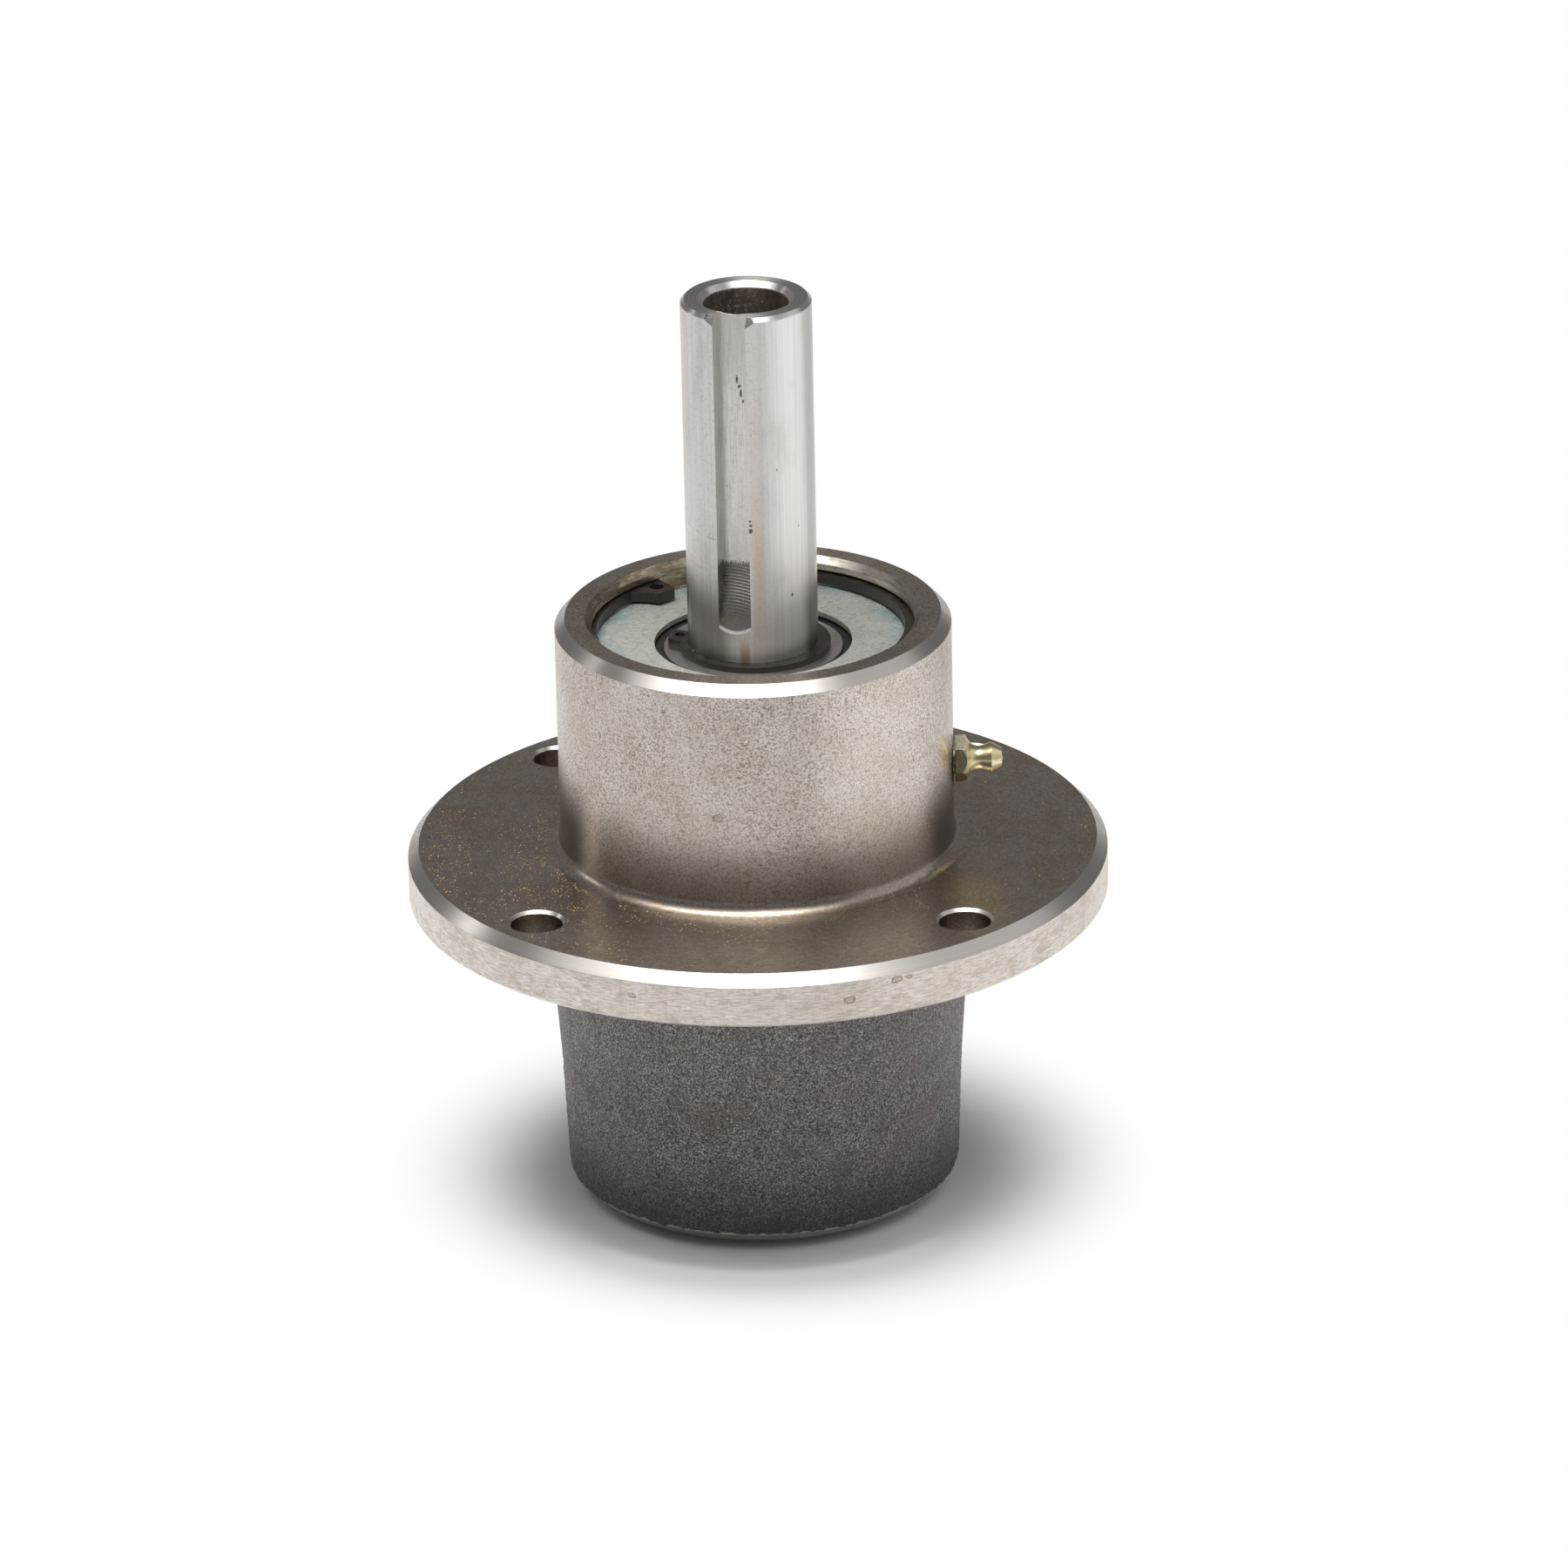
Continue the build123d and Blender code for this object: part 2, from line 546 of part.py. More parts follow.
# Spindle shaft: turned and ground, bored right through for the blade bolt, with the blade seat on its collar.
# Its outline is drawn in the plane through the middle of the keyway.
key_plane = Plane(origin=(0, 0, 0), x_dir=(*polar(1, KEY_ANGLE), 0), z_dir=(*polar(1, KEY_ANGLE - 90), 0))
with BuildPart() as spindle_shaft:
    with BuildSketch(key_plane):
        with BuildLine():
            Polyline(
                (BOLT_BORE_R, BOLT_BORE_CHAMFER),
                (BOLT_BORE_R + BOLT_BORE_CHAMFER, 0),
                (COLLAR_R - COLLAR_CHAMFER, 0),
                (COLLAR_R, COLLAR_CHAMFER),
                (COLLAR_R, LOWER_BEARING_BOTTOM - COLLAR_STEP_HEIGHT),
                (COLLAR_STEP_R, LOWER_BEARING_BOTTOM - COLLAR_STEP_HEIGHT),
                (COLLAR_STEP_R, LOWER_BEARING_BOTTOM),
                (SHAFT_R, LOWER_BEARING_BOTTOM),
                (SHAFT_R, UPPER_BEARING_TOP - SHAFT_CLIP_SIDE_GAP),
                (SHAFT_GROOVE_R, UPPER_BEARING_TOP - SHAFT_CLIP_SIDE_GAP),
                (SHAFT_GROOVE_R, UPPER_BEARING_TOP + SHAFT_CLIP_THICKNESS + SHAFT_CLIP_SIDE_GAP),
                (SHAFT_R, UPPER_BEARING_TOP + SHAFT_CLIP_THICKNESS + SHAFT_CLIP_SIDE_GAP),
                (SHAFT_R, SHAFT_TOP - SHAFT_TOP_CHAMFER),
                (SHAFT_R - SHAFT_TOP_CHAMFER, SHAFT_TOP),
                (BOLT_BORE_R + BOLT_BORE_CHAMFER, SHAFT_TOP),
                (BOLT_BORE_R, SHAFT_TOP - BOLT_BORE_CHAMFER),
                close=True,
            )
        make_face()
    revolve(axis=Axis.Z)
    # Keyway, open at the top, with the cutter's curved run-out at its lower end
    cutter_end_x = SHAFT_R + CUT_OVERRUN
    cutter_end_z = CUTTER_Z - sqrt(CUTTER_R**2 - (CUTTER_X - cutter_end_x) ** 2)
    cutter_middle_x = (KEY_FLOOR + cutter_end_x) / 2
    cutter_middle_z = CUTTER_Z - sqrt(CUTTER_R**2 - (CUTTER_X - cutter_middle_x) ** 2)
    with BuildSketch(key_plane):
        with BuildLine():
            Polyline(
                (cutter_end_x, cutter_end_z),
                (cutter_end_x, SHAFT_TOP + CUT_OVERRUN),
                (KEY_FLOOR, SHAFT_TOP + CUT_OVERRUN),
                (KEY_FLOOR, CUTTER_Z),
            )
            ThreePointArc(
                (KEY_FLOOR, CUTTER_Z),
                (cutter_middle_x, cutter_middle_z),
                (cutter_end_x, cutter_end_z),
            )
        make_face()
    extrude(amount=KEY_WIDTH / 2, both=True, mode=Mode.SUBTRACT)
    # Small deburring flats on the two top corners of the keyway
    facet_cutter = 3 * FACET_WIDTH
    for side in (-1, 1):
        edge_u = sqrt(SHAFT_R**2 - (KEY_WIDTH / 2) ** 2)
        out_v = KEY_WIDTH / 2 + FACET_WIDTH
        out_u = sqrt(SHAFT_R**2 - out_v**2)
        along = key_plane.from_local_coords((out_u, SHAFT_TOP - SHAFT_TOP_CHAMFER, side * out_v))
        down = key_plane.from_local_coords((edge_u, SHAFT_TOP - FACET_DROP, side * KEY_WIDTH / 2))
        across = key_plane.from_local_coords((edge_u - FACET_RUN, SHAFT_TOP, side * KEY_WIDTH / 2))
        facet_normal = (down - along).cross(across - along) * side
        facet_centre = (along + down + across) / 3
        with Locations(Plane(origin=facet_centre, z_dir=facet_normal)):
            Box(
                facet_cutter,
                facet_cutter,
                facet_cutter,
                align=(Align.CENTER, Align.CENTER, Align.MIN),
                mode=Mode.SUBTRACT,
            )

# Shaft circlip: spring steel ring in the shaft groove, resting on the upper inner ring
with BuildPart() as shaft_circlip:
    with BuildSketch(turned_plane(UPPER_BEARING_TOP, SHAFT_CLIP_ANGLE)):
        with Locations((-SHAFT_CLIP_OFFSET, 0)):
            Circle(SHAFT_CLIP_R)
        for side in (-1, 1):
            start = SHAFT_CLIP_GAP_HALF_ANGLE * side
            ear_end = start + SHAFT_CLIP_EAR_ANGLE * side
            flare_end = start + SHAFT_CLIP_FLARE_ANGLE * side
            flare_middle = ear_end + 0.35 * (flare_end - ear_end)
            root_r = (SHAFT_GROOVE_R + SHAFT_CLIP_R) / 2
            with BuildLine():
                Line(polar(root_r, start), polar(SHAFT_CLIP_EAR_R, start))
                Line(polar(SHAFT_CLIP_EAR_R, start), polar(SHAFT_CLIP_EAR_R, ear_end))
                ThreePointArc(
                    polar(SHAFT_CLIP_EAR_R, ear_end),
                    polar((SHAFT_CLIP_EAR_R + root_r) / 2, flare_middle),
                    polar(root_r, flare_end),
                )
                Line(polar(root_r, flare_end), polar(root_r, start))
            make_face()
        Circle(SHAFT_GROOVE_R, mode=Mode.SUBTRACT)
        with BuildLine():
            Polyline(
                (0, 0),
                polar(2 * SHAFT_CLIP_R, -SHAFT_CLIP_GAP_HALF_ANGLE),
                polar(2 * SHAFT_CLIP_R, SHAFT_CLIP_GAP_HALF_ANGLE),
                close=True,
            )
        make_face(mode=Mode.SUBTRACT)
        for side in (-1, 1):
            start = SHAFT_CLIP_GAP_HALF_ANGLE * side
            ear_end = start + SHAFT_CLIP_EAR_ANGLE * side
            for corner in (start, ear_end):
                fillet(vertices().sort_by_distance(polar(SHAFT_CLIP_EAR_R, corner))[0], SHAFT_CLIP_EAR_ROUND)
            with Locations(polar(SHAFT_CLIP_EYE_CENTRE_R, (start + ear_end) / 2)):
                Circle(SHAFT_CLIP_EYE_R, mode=Mode.SUBTRACT)
    extrude(amount=SHAFT_CLIP_THICKNESS)

# Grease fitting body: hexagon, waist and head for the grease gun, with a thread below the hexagon
with BuildPart() as grease_fitting_body:
    with BuildSketch(Plane.XZ):
        with BuildLine():
            Polyline(
                (FITTING_INNER_END, FITTING_Z + FITTING_PASSAGE_R),
                (FITTING_INNER_END, FITTING_Z + FITTING_THREAD_R),
                (FITTING_HEX_START, FITTING_Z + FITTING_THREAD_R),
                (FITTING_BASE, FITTING_Z + FITTING_THREAD_R),
                (FITTING_BASE, FITTING_Z + FITTING_ROOT_R),
            )
            Spline(
                (FITTING_BASE, FITTING_Z + FITTING_ROOT_R),
                (FITTING_BASE + FITTING_NECK_X, FITTING_Z + FITTING_NECK_R),
                (FITTING_BASE + FITTING_HEAD_X, FITTING_Z + FITTING_HEAD_R),
                tangents=((0.55, -1), (0.8, 0.25)),
            )
            Polyline(
                (FITTING_BASE + FITTING_HEAD_X, FITTING_Z + FITTING_HEAD_R),
                (FITTING_TIP, FITTING_Z + FITTING_TIP_R),
                (FITTING_TIP, FITTING_Z + FITTING_MOUTH_R),
                (SEAT_START, FITTING_Z + FITTING_CHAMBER_R),
                (CHAMBER_START, FITTING_Z + FITTING_CHAMBER_R),
                (CHAMBER_START, FITTING_Z + FITTING_PASSAGE_R),
                (FITTING_INNER_END, FITTING_Z + FITTING_PASSAGE_R),
            )
        make_face()
    revolve(axis=Axis((0, 0, FITTING_Z), (1, 0, 0)))
    # Hexagon, with its corners turned off on the outer side
    hex_plane = Plane(
        origin=(FITTING_HEX_START, 0, FITTING_Z),
        x_dir=(0, *polar(1, 180 - FITTING_HEX_ANGLE)),
        z_dir=(1, 0, 0),
    )
    with BuildSketch(hex_plane):
        RegularPolygon(FITTING_HEX_FLAT / 2, 6, major_radius=False, rotation=30)
        Circle(FITTING_THREAD_R, mode=Mode.SUBTRACT)
    extrude(amount=FITTING_HEX_LENGTH)
    with BuildSketch(Plane.XZ):
        with BuildLine():
            Polyline(
                (FITTING_BASE, FITTING_Z + FITTING_ROOT_R),
                (FITTING_BASE, FITTING_Z + FITTING_HEX_FLAT),
                (FITTING_HEX_START + FITTING_HEX_LENGTH / 2, FITTING_Z + FITTING_HEX_FLAT),
                close=True,
            )
        make_face()
    revolve(axis=Axis((0, 0, FITTING_Z), (1, 0, 0)), mode=Mode.SUBTRACT)

# Check ball at the mouth of the grease fitting
with BuildPart() as grease_fitting_ball:
    with Locations((CHECK_BALL_X, 0, FITTING_Z)):
        Sphere(CHECK_BALL_R)

# Spring behind the check ball
with BuildPart() as grease_fitting_spring:
    with BuildLine():
        coil = Helix(
            pitch=(SPRING_END - SPRING_START) / SPRING_COILS,
            height=SPRING_END - SPRING_START,
            radius=SPRING_R,
            center=(SPRING_START, 0, FITTING_Z),
            direction=(1, 0, 0),
        )
    with BuildSketch(Plane(origin=coil @ 0, z_dir=coil % 0)):
        Circle(SPRING_WIRE_R)
    sweep()

for name, piece in (
    ("spindle_housing", spindle_housing),
    ("upper_housing_circlip", upper_housing_circlip),
    ("lower_housing_circlip", lower_housing_circlip),
    ("upper_shield_washer", upper_shield_washer),
    ("lower_shield_washer", lower_shield_washer),
    ("upper_bearing_outer_ring", upper_bearing_outer_ring),
    ("lower_bearing_outer_ring", lower_bearing_outer_ring),
    ("upper_bearing_inner_ring", upper_bearing_inner_ring),
    ("lower_bearing_inner_ring", lower_bearing_inner_ring),
    ("upper_bearing_seal", upper_bearing_seal),
    ("lower_bearing_seal", lower_bearing_seal),
    ("upper_bearing_balls", upper_bearing_balls),
    ("lower_bearing_balls", lower_bearing_balls),
    ("upper_cage_top_half", upper_cage_top_half),
    ("upper_cage_bottom_half", upper_cage_bottom_half),
    ("lower_cage_top_half", lower_cage_top_half),
    ("lower_cage_bottom_half", lower_cage_bottom_half),
    ("upper_cage_rivets", upper_cage_rivets),
    ("lower_cage_rivets", lower_cage_rivets),
    ("bearing_spacer", bearing_spacer),
    ("spindle_shaft", spindle_shaft),
    ("shaft_circlip", shaft_circlip),
    ("grease_fitting_body", grease_fitting_body),
    ("grease_fitting_ball", grease_fitting_ball),
    ("grease_fitting_spring", grease_fitting_spring),
):
    piece.part.label = name
    export_step(piece.part, f"parts/{name}.step")
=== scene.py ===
import json
import math
import random

import bpy
from mathutils import Matrix, Vector, noise


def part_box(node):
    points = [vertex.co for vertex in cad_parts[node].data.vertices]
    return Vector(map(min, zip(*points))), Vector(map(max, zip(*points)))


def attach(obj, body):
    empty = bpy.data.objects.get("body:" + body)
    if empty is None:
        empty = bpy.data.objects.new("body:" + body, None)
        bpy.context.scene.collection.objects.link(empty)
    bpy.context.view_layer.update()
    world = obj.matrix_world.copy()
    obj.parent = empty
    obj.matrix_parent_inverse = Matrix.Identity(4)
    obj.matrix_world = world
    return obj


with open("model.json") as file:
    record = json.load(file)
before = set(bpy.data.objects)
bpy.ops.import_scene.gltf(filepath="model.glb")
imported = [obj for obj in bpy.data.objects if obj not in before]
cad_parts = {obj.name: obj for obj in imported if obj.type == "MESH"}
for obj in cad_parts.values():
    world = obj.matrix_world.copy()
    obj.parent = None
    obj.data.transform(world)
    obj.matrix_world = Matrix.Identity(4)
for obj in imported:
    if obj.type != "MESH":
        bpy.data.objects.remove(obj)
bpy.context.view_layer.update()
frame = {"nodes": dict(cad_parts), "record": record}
scene = bpy.context.scene


# The camera stands where the photographer stood: 1.9 m away, looking 23 degrees down with a long lens.
# It is turned a little on its own axis, which tips the upright shaft a degree to the left.
CAMERA_PLACE = (0, -1.75902, 0.82289)
CAMERA_YAW = -0.173
CAMERA_PITCH = -22.835
CAMERA_ROLL = -1.202
LENS_LENGTH = 227.0
SENSOR_WIDTH = 36.0
FARTHEST_SEEN = 60

camera_data = bpy.data.cameras.new("camera")
camera_data.lens = LENS_LENGTH
camera_data.sensor_width = SENSOR_WIDTH
camera_data.clip_end = FARTHEST_SEEN
camera = bpy.data.objects.new("camera", camera_data)
turn = Matrix.Rotation(math.radians(CAMERA_YAW), 4, "Z")
tilt = Matrix.Rotation(math.radians(90 + CAMERA_PITCH), 4, "X")
roll = Matrix.Rotation(math.radians(CAMERA_ROLL), 4, "Z")
camera.matrix_world = Matrix.Translation(CAMERA_PLACE) @ turn @ tilt @ roll
scene.collection.objects.link(camera)
scene.camera = camera
scene.view_settings.view_transform = "Standard"


# A wide softbox hangs over the table, a little to the left, and fades towards its borders as a real one does.
# A white panel stands at the right, and a narrow strip at the left draws a thin line of light down the shaft.
OVERHEAD_PLACE = (-0.12, -0.20, 1.15)
OVERHEAD_AIM = (0, -0.05, 0.06)
OVERHEAD_PARTS = (("middle", 0.80, 0.50, 6.6), ("body", 1.20, 0.72, 2.6), ("border", 1.70, 1.05, 0.8))
PANEL_PLACE = (0.755, -0.08, 0.48)
STRIP_PLACE = (-0.575, 0.232, 0.35)
OBJECT_MIDDLE = (0, 0, 0.12)
ROOM_LEVEL = 0.17


def softbox(name, place, aim, width, height, level):
    """A flat lamp whose face looks as bright as level, where 1 is white."""
    lamp = bpy.data.lights.new(name, "AREA")
    lamp.shape = "RECTANGLE"
    lamp.size = width
    lamp.size_y = height
    lamp.energy = level * math.pi * width * height
    held = bpy.data.objects.new(name, lamp)
    held.location = place
    held.rotation_euler = (Vector(aim) - Vector(place)).to_track_quat("-Z", "Y").to_euler()
    held.visible_camera = False
    scene.collection.objects.link(held)


for part, width, height, level in OVERHEAD_PARTS:
    softbox(f"overhead_softbox_{part}", OVERHEAD_PLACE, OVERHEAD_AIM, width, height, level)
softbox("right_panel", PANEL_PLACE, OBJECT_MIDDLE, width=0.88, height=0.90, level=0.50)
softbox("left_strip", STRIP_PLACE, OBJECT_MIDDLE, width=0.035, height=0.22, level=6.2)

world = bpy.data.worlds.new("studio_room")
scene.world = world
world.use_nodes = True
room = world.node_tree.nodes["Background"]
room.inputs["Color"].default_value = (1, 1, 1, 1)
room.inputs["Strength"].default_value = ROOM_LEVEL


# The table top is a plain matt white sheet, far wider than the view, on which the spindle stands.
# Near the object it keeps the shadow, partly lifted in front of the foot by painted light, and further out it
# is plain white for the eye and for the metal.
MM = 0.001
TABLE_RINGS = (0.3, 1.0, 4.0, 12.0)
TABLE_SIDES = 96
TABLE_HEIGHT = -0.00002
SHADOW_START = 38.0
SHADOW_END = 80.0
FRONT_START = -18
FRONT_END = -44
FRONT_LIFT = 0.26
FOOT_SHADOW_R = 43.4
FOOT_SHADOW_END_R = 46.4


class Finish:
    """One surface, worked out from the piece's own places in millimetres."""

    def __init__(self, name):
        self.material = bpy.data.materials.new(name)
        self.material.use_nodes = True
        self.tree = self.material.node_tree
        self.shader = self.tree.nodes["Principled BSDF"]
        source = self.add("ShaderNodeTexCoord")
        self.place = self.vector("SCALE", source.outputs["Object"], scale=1 / MM)
        self.x, self.y, self.z = self.split(self.place)
        self.radius = self.distance(self.x, self.y)
        self.facing = source.outputs["Normal"]
        self.normal = None

    def add(self, kind, **settings):
        node = self.tree.nodes.new(kind)
        for key, value in settings.items():
            setattr(node, key, value)
        return node

    def join(self, value, socket):
        if isinstance(value, bpy.types.NodeSocket):
            self.tree.links.new(value, socket)
        elif socket.type == "RGBA" and len(value) == 3:
            socket.default_value = (*value, 1)
        else:
            socket.default_value = value

    def set(self, **values):
        """Gives the shader's own sockets a number, a colour or a worked-out value."""
        for key, value in values.items():
            self.join(value, self.shader.inputs[key.replace("_", " ")])

    def number(self, operation, *values):
        node = self.add("ShaderNodeMath", operation=operation)
        for value, socket in zip(values, node.inputs):
            self.join(value, socket)
        return node.outputs[0]

    def plus(self, first, second):
        return self.number("ADD", first, second)

    def minus(self, first, second):
        return self.number("SUBTRACT", first, second)

    def times(self, *values):
        result = values[0]
        for value in values[1:]:
            result = self.number("MULTIPLY", result, value)
        return result

    def most(self, *values):
        result = values[0]
        for value in values[1:]:
            result = self.number("MAXIMUM", result, value)
        return result

    def less(self, value):
        """What is left of one."""
        return self.minus(1.0, value)

    def amount(self, value):
        """The value without its sign."""
        return self.number("ABSOLUTE", value)

    def sum_of_squares(self, a, b):
        return self.plus(self.times(a, a), self.times(b, b))

    def distance(self, a, b):
        return self.number("SQRT", self.sum_of_squares(a, b))

    def vector(self, operation, *values, scale=None):
        node = self.add("ShaderNodeVectorMath", operation=operation)
        for value, socket in zip(values, node.inputs):
            self.join(value, socket)
        if scale is not None:
            node.inputs["Scale"].default_value = scale
        return node.outputs[0]

    def split(self, value):
        node = self.add("ShaderNodeSeparateXYZ")
        self.join(value, node.inputs[0])
        return node.outputs

    def point(self, x, y, z=0.0):
        node = self.add("ShaderNodeCombineXYZ")
        for value, socket in zip((x, y, z), node.inputs):
            self.join(value, socket)
        return node.outputs[0]

    def rise(self, value, start, end, low=0.0, high=1.0):
        """Goes smoothly from low to high as value goes from start to end."""
        node = self.add("ShaderNodeMapRange", interpolation_type="SMOOTHSTEP")
        givens = {"Value": value, "From Min": start, "From Max": end, "To Min": low, "To Max": high}
        for key, given in givens.items():
            self.join(given, node.inputs[key])
        return node.outputs[0]

    def band(self, value, start, end, soft):
        """One between start and end and none outside, with soft shoulders."""
        up = self.rise(value, start - soft / 2, start + soft / 2)
        down = self.rise(value, end - soft / 2, end + soft / 2, 1.0, 0.0)
        return self.times(up, down)

    def grain(self, size, stretch=(1, 1, 1), detail=2.0, rough=0.5, place=None, shift=0.0):
        """Cloudy grain whose blots are about size millimetres, drawn out by stretch."""
        where = self.vector("MULTIPLY", place or self.place, tuple(1 / (size * s) for s in stretch))
        if shift:
            where = self.vector("ADD", where, (shift, shift * 1.7, shift * 2.3))
        node = self.add("ShaderNodeTexNoise")
        self.join(where, node.inputs["Vector"])
        node.inputs["Scale"].default_value = 1
        node.inputs["Detail"].default_value = detail
        node.inputs["Roughness"].default_value = rough
        return node.outputs[0]

    def specks(self, pitch, size, share, shift=0.0):
        """Small dots and their tones: one dot at most in each cell, on the given share of the cells."""
        where = self.vector("SCALE", self.place, scale=1 / pitch)
        wobble = self.grain(size * 0.8, shift=shift + 3)
        where = self.vector("ADD", where, self.point(shift, self.times(wobble, 0.35), shift))
        node = self.add("ShaderNodeTexVoronoi")
        self.join(where, node.inputs["Vector"])
        node.inputs["Scale"].default_value = 1
        pick, width, tone = self.split(node.outputs["Color"])
        reach = self.rise(width, 0, 1, 0.35 * size / pitch, size / pitch)
        dot = self.rise(node.outputs["Distance"], self.times(reach, 0.6), reach, 1.0, 0.0)
        return self.times(dot, self.rise(pick, 1 - share, 1 - share + 0.01)), tone

    def hairs(self, size, width, share, shift=0.0):
        """Short curled hairlines, as lint and scratches leave."""
        wander = self.amount(self.minus(self.grain(size, shift=shift), 0.5))
        line = self.rise(wander, width * 0.4, width, 1.0, 0.0)
        return self.times(line, self.rise(self.grain(size * 0.9, shift=shift + 11), 1 - share, 1.04 - share))

    def mix(self, share, first, second):
        node = self.add("ShaderNodeMix", data_type="RGBA")
        for key, value in ((0, share), (6, first), (7, second)):
            self.join(value, node.inputs[key])
        return node.outputs[2]

    def tint(self, under, over, *shares):
        """Lays one colour over another where all the shares are high."""
        return self.mix(self.times(*shares), under, over)

    def blend(self, share, first, second):
        node = self.add("ShaderNodeMix", data_type="FLOAT")
        for key, value in ((0, share), (2, first), (3, second)):
            self.join(value, node.inputs[key])
        return node.outputs[0]

    def soften(self, radius):
        """Breaks the sharp edges by that radius in millimetres."""
        node = self.add("ShaderNodeBevel", samples=4)
        node.inputs["Radius"].default_value = radius * MM
        self.normal = node.outputs[0]
        self.join(self.normal, self.shader.inputs["Normal"])

    def relief(self, height, depth):
        """Lifts the surface by height times depth, in millimetres."""
        node = self.add("ShaderNodeBump")
        node.inputs["Distance"].default_value = depth * MM
        self.join(height, node.inputs["Height"])
        if self.normal is not None:
            self.join(self.normal, node.inputs["Normal"])
        self.normal = node.outputs[0]
        self.join(self.normal, self.shader.inputs["Normal"])

    def lathe_lines(self, amount, axis="Z"):
        """Draws highlights out across the fine rings that turning and grinding leave."""
        node = self.add("ShaderNodeTangent", direction_type="RADIAL", axis=axis)
        self.join(node.outputs[0], self.shader.inputs["Tangent"])
        self.set(Anisotropic=amount, Anisotropic_Rotation=0.25)

    def cover(self, *names):
        for name in names:
            for place in frame["nodes"][name].material_slots:
                place.material = self.material


def new_piece(name, points, faces):
    mesh = bpy.data.meshes.new(name)
    mesh.from_pydata(points, [], faces)
    piece = bpy.data.objects.new(name, mesh)
    scene.collection.objects.link(piece)
    return piece


def flat_disc(name, rings, sides, height, middle=True):
    """A flat disc of rings, with its middle closed by a fan or left open."""
    points = [(0, 0, height)]
    for radius in rings:
        for i in range(sides):
            angle = 2 * math.pi * i / sides
            points.append((radius * math.cos(angle), radius * math.sin(angle), height))
    faces = [(0, 1 + i, 1 + (i + 1) % sides) for i in range(sides)] if middle else []
    for ring in range(len(rings) - 1):
        inner = 1 + ring * sides
        for i in range(sides):
            j = (i + 1) % sides
            faces.append((inner + i, inner + sides + i, inner + sides + j, inner + j))
    return new_piece(name, points, faces)


table = flat_disc("table_top", TABLE_RINGS, TABLE_SIDES, TABLE_HEIGHT)
white = Finish("white_table")
white.set(Base_Color=white.mix(white.grain(400), (0.93, 0.93, 0.93), (0.95, 0.95, 0.945)), Roughness=0.9)
white.set(Specular_IOR_Level=0.1)
glow = white.add("ShaderNodeEmission")
glow.inputs["Color"].default_value = (1, 1, 1, 1)
ray = white.add("ShaderNodeLightPath")
not_camera = white.most(ray.outputs["Is Glossy Ray"], ray.outputs["Is Transmission Ray"])
seen = white.most(ray.outputs["Is Camera Ray"], not_camera)
# Painted light: in front of the foot the white glow also lifts part of the object's shadow.
front_painted_light = white.times(
    white.rise(white.y, FRONT_START, FRONT_END, 0.0, FRONT_LIFT),
    white.rise(white.radius, FOOT_SHADOW_R, FOOT_SHADOW_END_R),
)
far = white.times(seen, white.most(white.rise(white.radius, SHADOW_START, SHADOW_END), front_painted_light))
either = white.add("ShaderNodeMixShader")
for number, value in enumerate((far, white.shader.outputs[0], glow.outputs[0])):
    white.join(value, either.inputs[number])
white.join(either.outputs[0], white.tree.nodes["Material Output"].inputs[0])
table.data.materials.append(white.material)


# Grey card lies round the object on the table, out of view, so that bright steel has light and dark to show.
# Its tone changes from side to side: each stop gives the degrees from the front, to the right, and the tone.
CARD_RINGS = (0.24, 0.5, 1.3)
CARD_SIDES = 72
CARD_HEIGHT = 0.001
CARD_TONES = (
    (-180, 0.98), (-150, 0.88), (-115, 0.72), (-75, 0.66), (-35, 0.64), (5, 0.56), (24, 0.53),
    (48, 0.93), (106, 0.95), (124, 0.66), (142, 0.68), (156, 0.88), (180, 0.98),
)
CARD_WARMTH = (1, 0.985, 0.965)
CARD_SMUDGE = (0.3, 0.3, 0.3)

card = flat_disc("grey_card", CARD_RINGS, CARD_SIDES, CARD_HEIGHT, middle=False)
grey = Finish("grey_card")
from_front = grey.number("ARCTAN2", grey.x, grey.times(grey.y, -1.0))
tones = grey.add("ShaderNodeValToRGB")
grey.join(grey.plus(0.5, grey.times(from_front, 0.5 / math.pi)), tones.inputs[0])
stops = tones.color_ramp.elements
for number, (degrees, tone) in enumerate(CARD_TONES):
    where = (degrees + 180) / 360
    stop = stops[number] if number < 2 else stops.new(where)
    stop.position = where
    stop.color = (*(tone * part for part in CARD_WARMTH), 1)
smudge = grey.rise(grey.grain(60), 0.3, 0.7, 0.0, 0.06)
grey.set(Base_Color=grey.mix(smudge, tones.outputs[0], CARD_SMUDGE), Roughness=0.9)
card.data.materials.append(grey.material)
card.visible_camera = False
card.visible_shadow = False


# The housing is one iron casting, turned on a lathe at the boss, the flange, the rim and the recess.
# Oil and handling have left the level faces dark brown, and the walls a warm grey with fine rust freckles.
casting_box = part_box("spindle_housing")
fitting_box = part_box("grease_fitting_body")
mounts = {mount["name"]: mount for mount in frame["record"]["mounts"]}

FLANGE_TOP = mounts["flange_top_face"]["pos_m"][2] / MM
FLANGE_BOTTOM = 61.2
FLANGE_BEVEL_R = 66.0
FLANGE_R = casting_box[1].x / MM
BOLT_HOLES_INNER_R = 51
BOLT_HOLES_OUTER_R = 64
BOSS_R = 38.1
FILLET_R = 40.5
FILLET_RISE = 2.4
RIM_TOP = casting_box[1].z / MM
RECESS_R = 33.2
BASE_EDGE = 4.0
FRONT_SHADE_HEIGHTS = (89, 74)
SIDE_SHADE_HEIGHTS = (90, 79)
SIDE_SHADE_ANGLES = (50, 68)
BOSS_SHADE_RADII = (62, 41)
FITTING_SHADOW_RADII = (7.0, 5.2)
FITTING_Z = (fitting_box[0].z + fitting_box[1].z) / 2 / MM

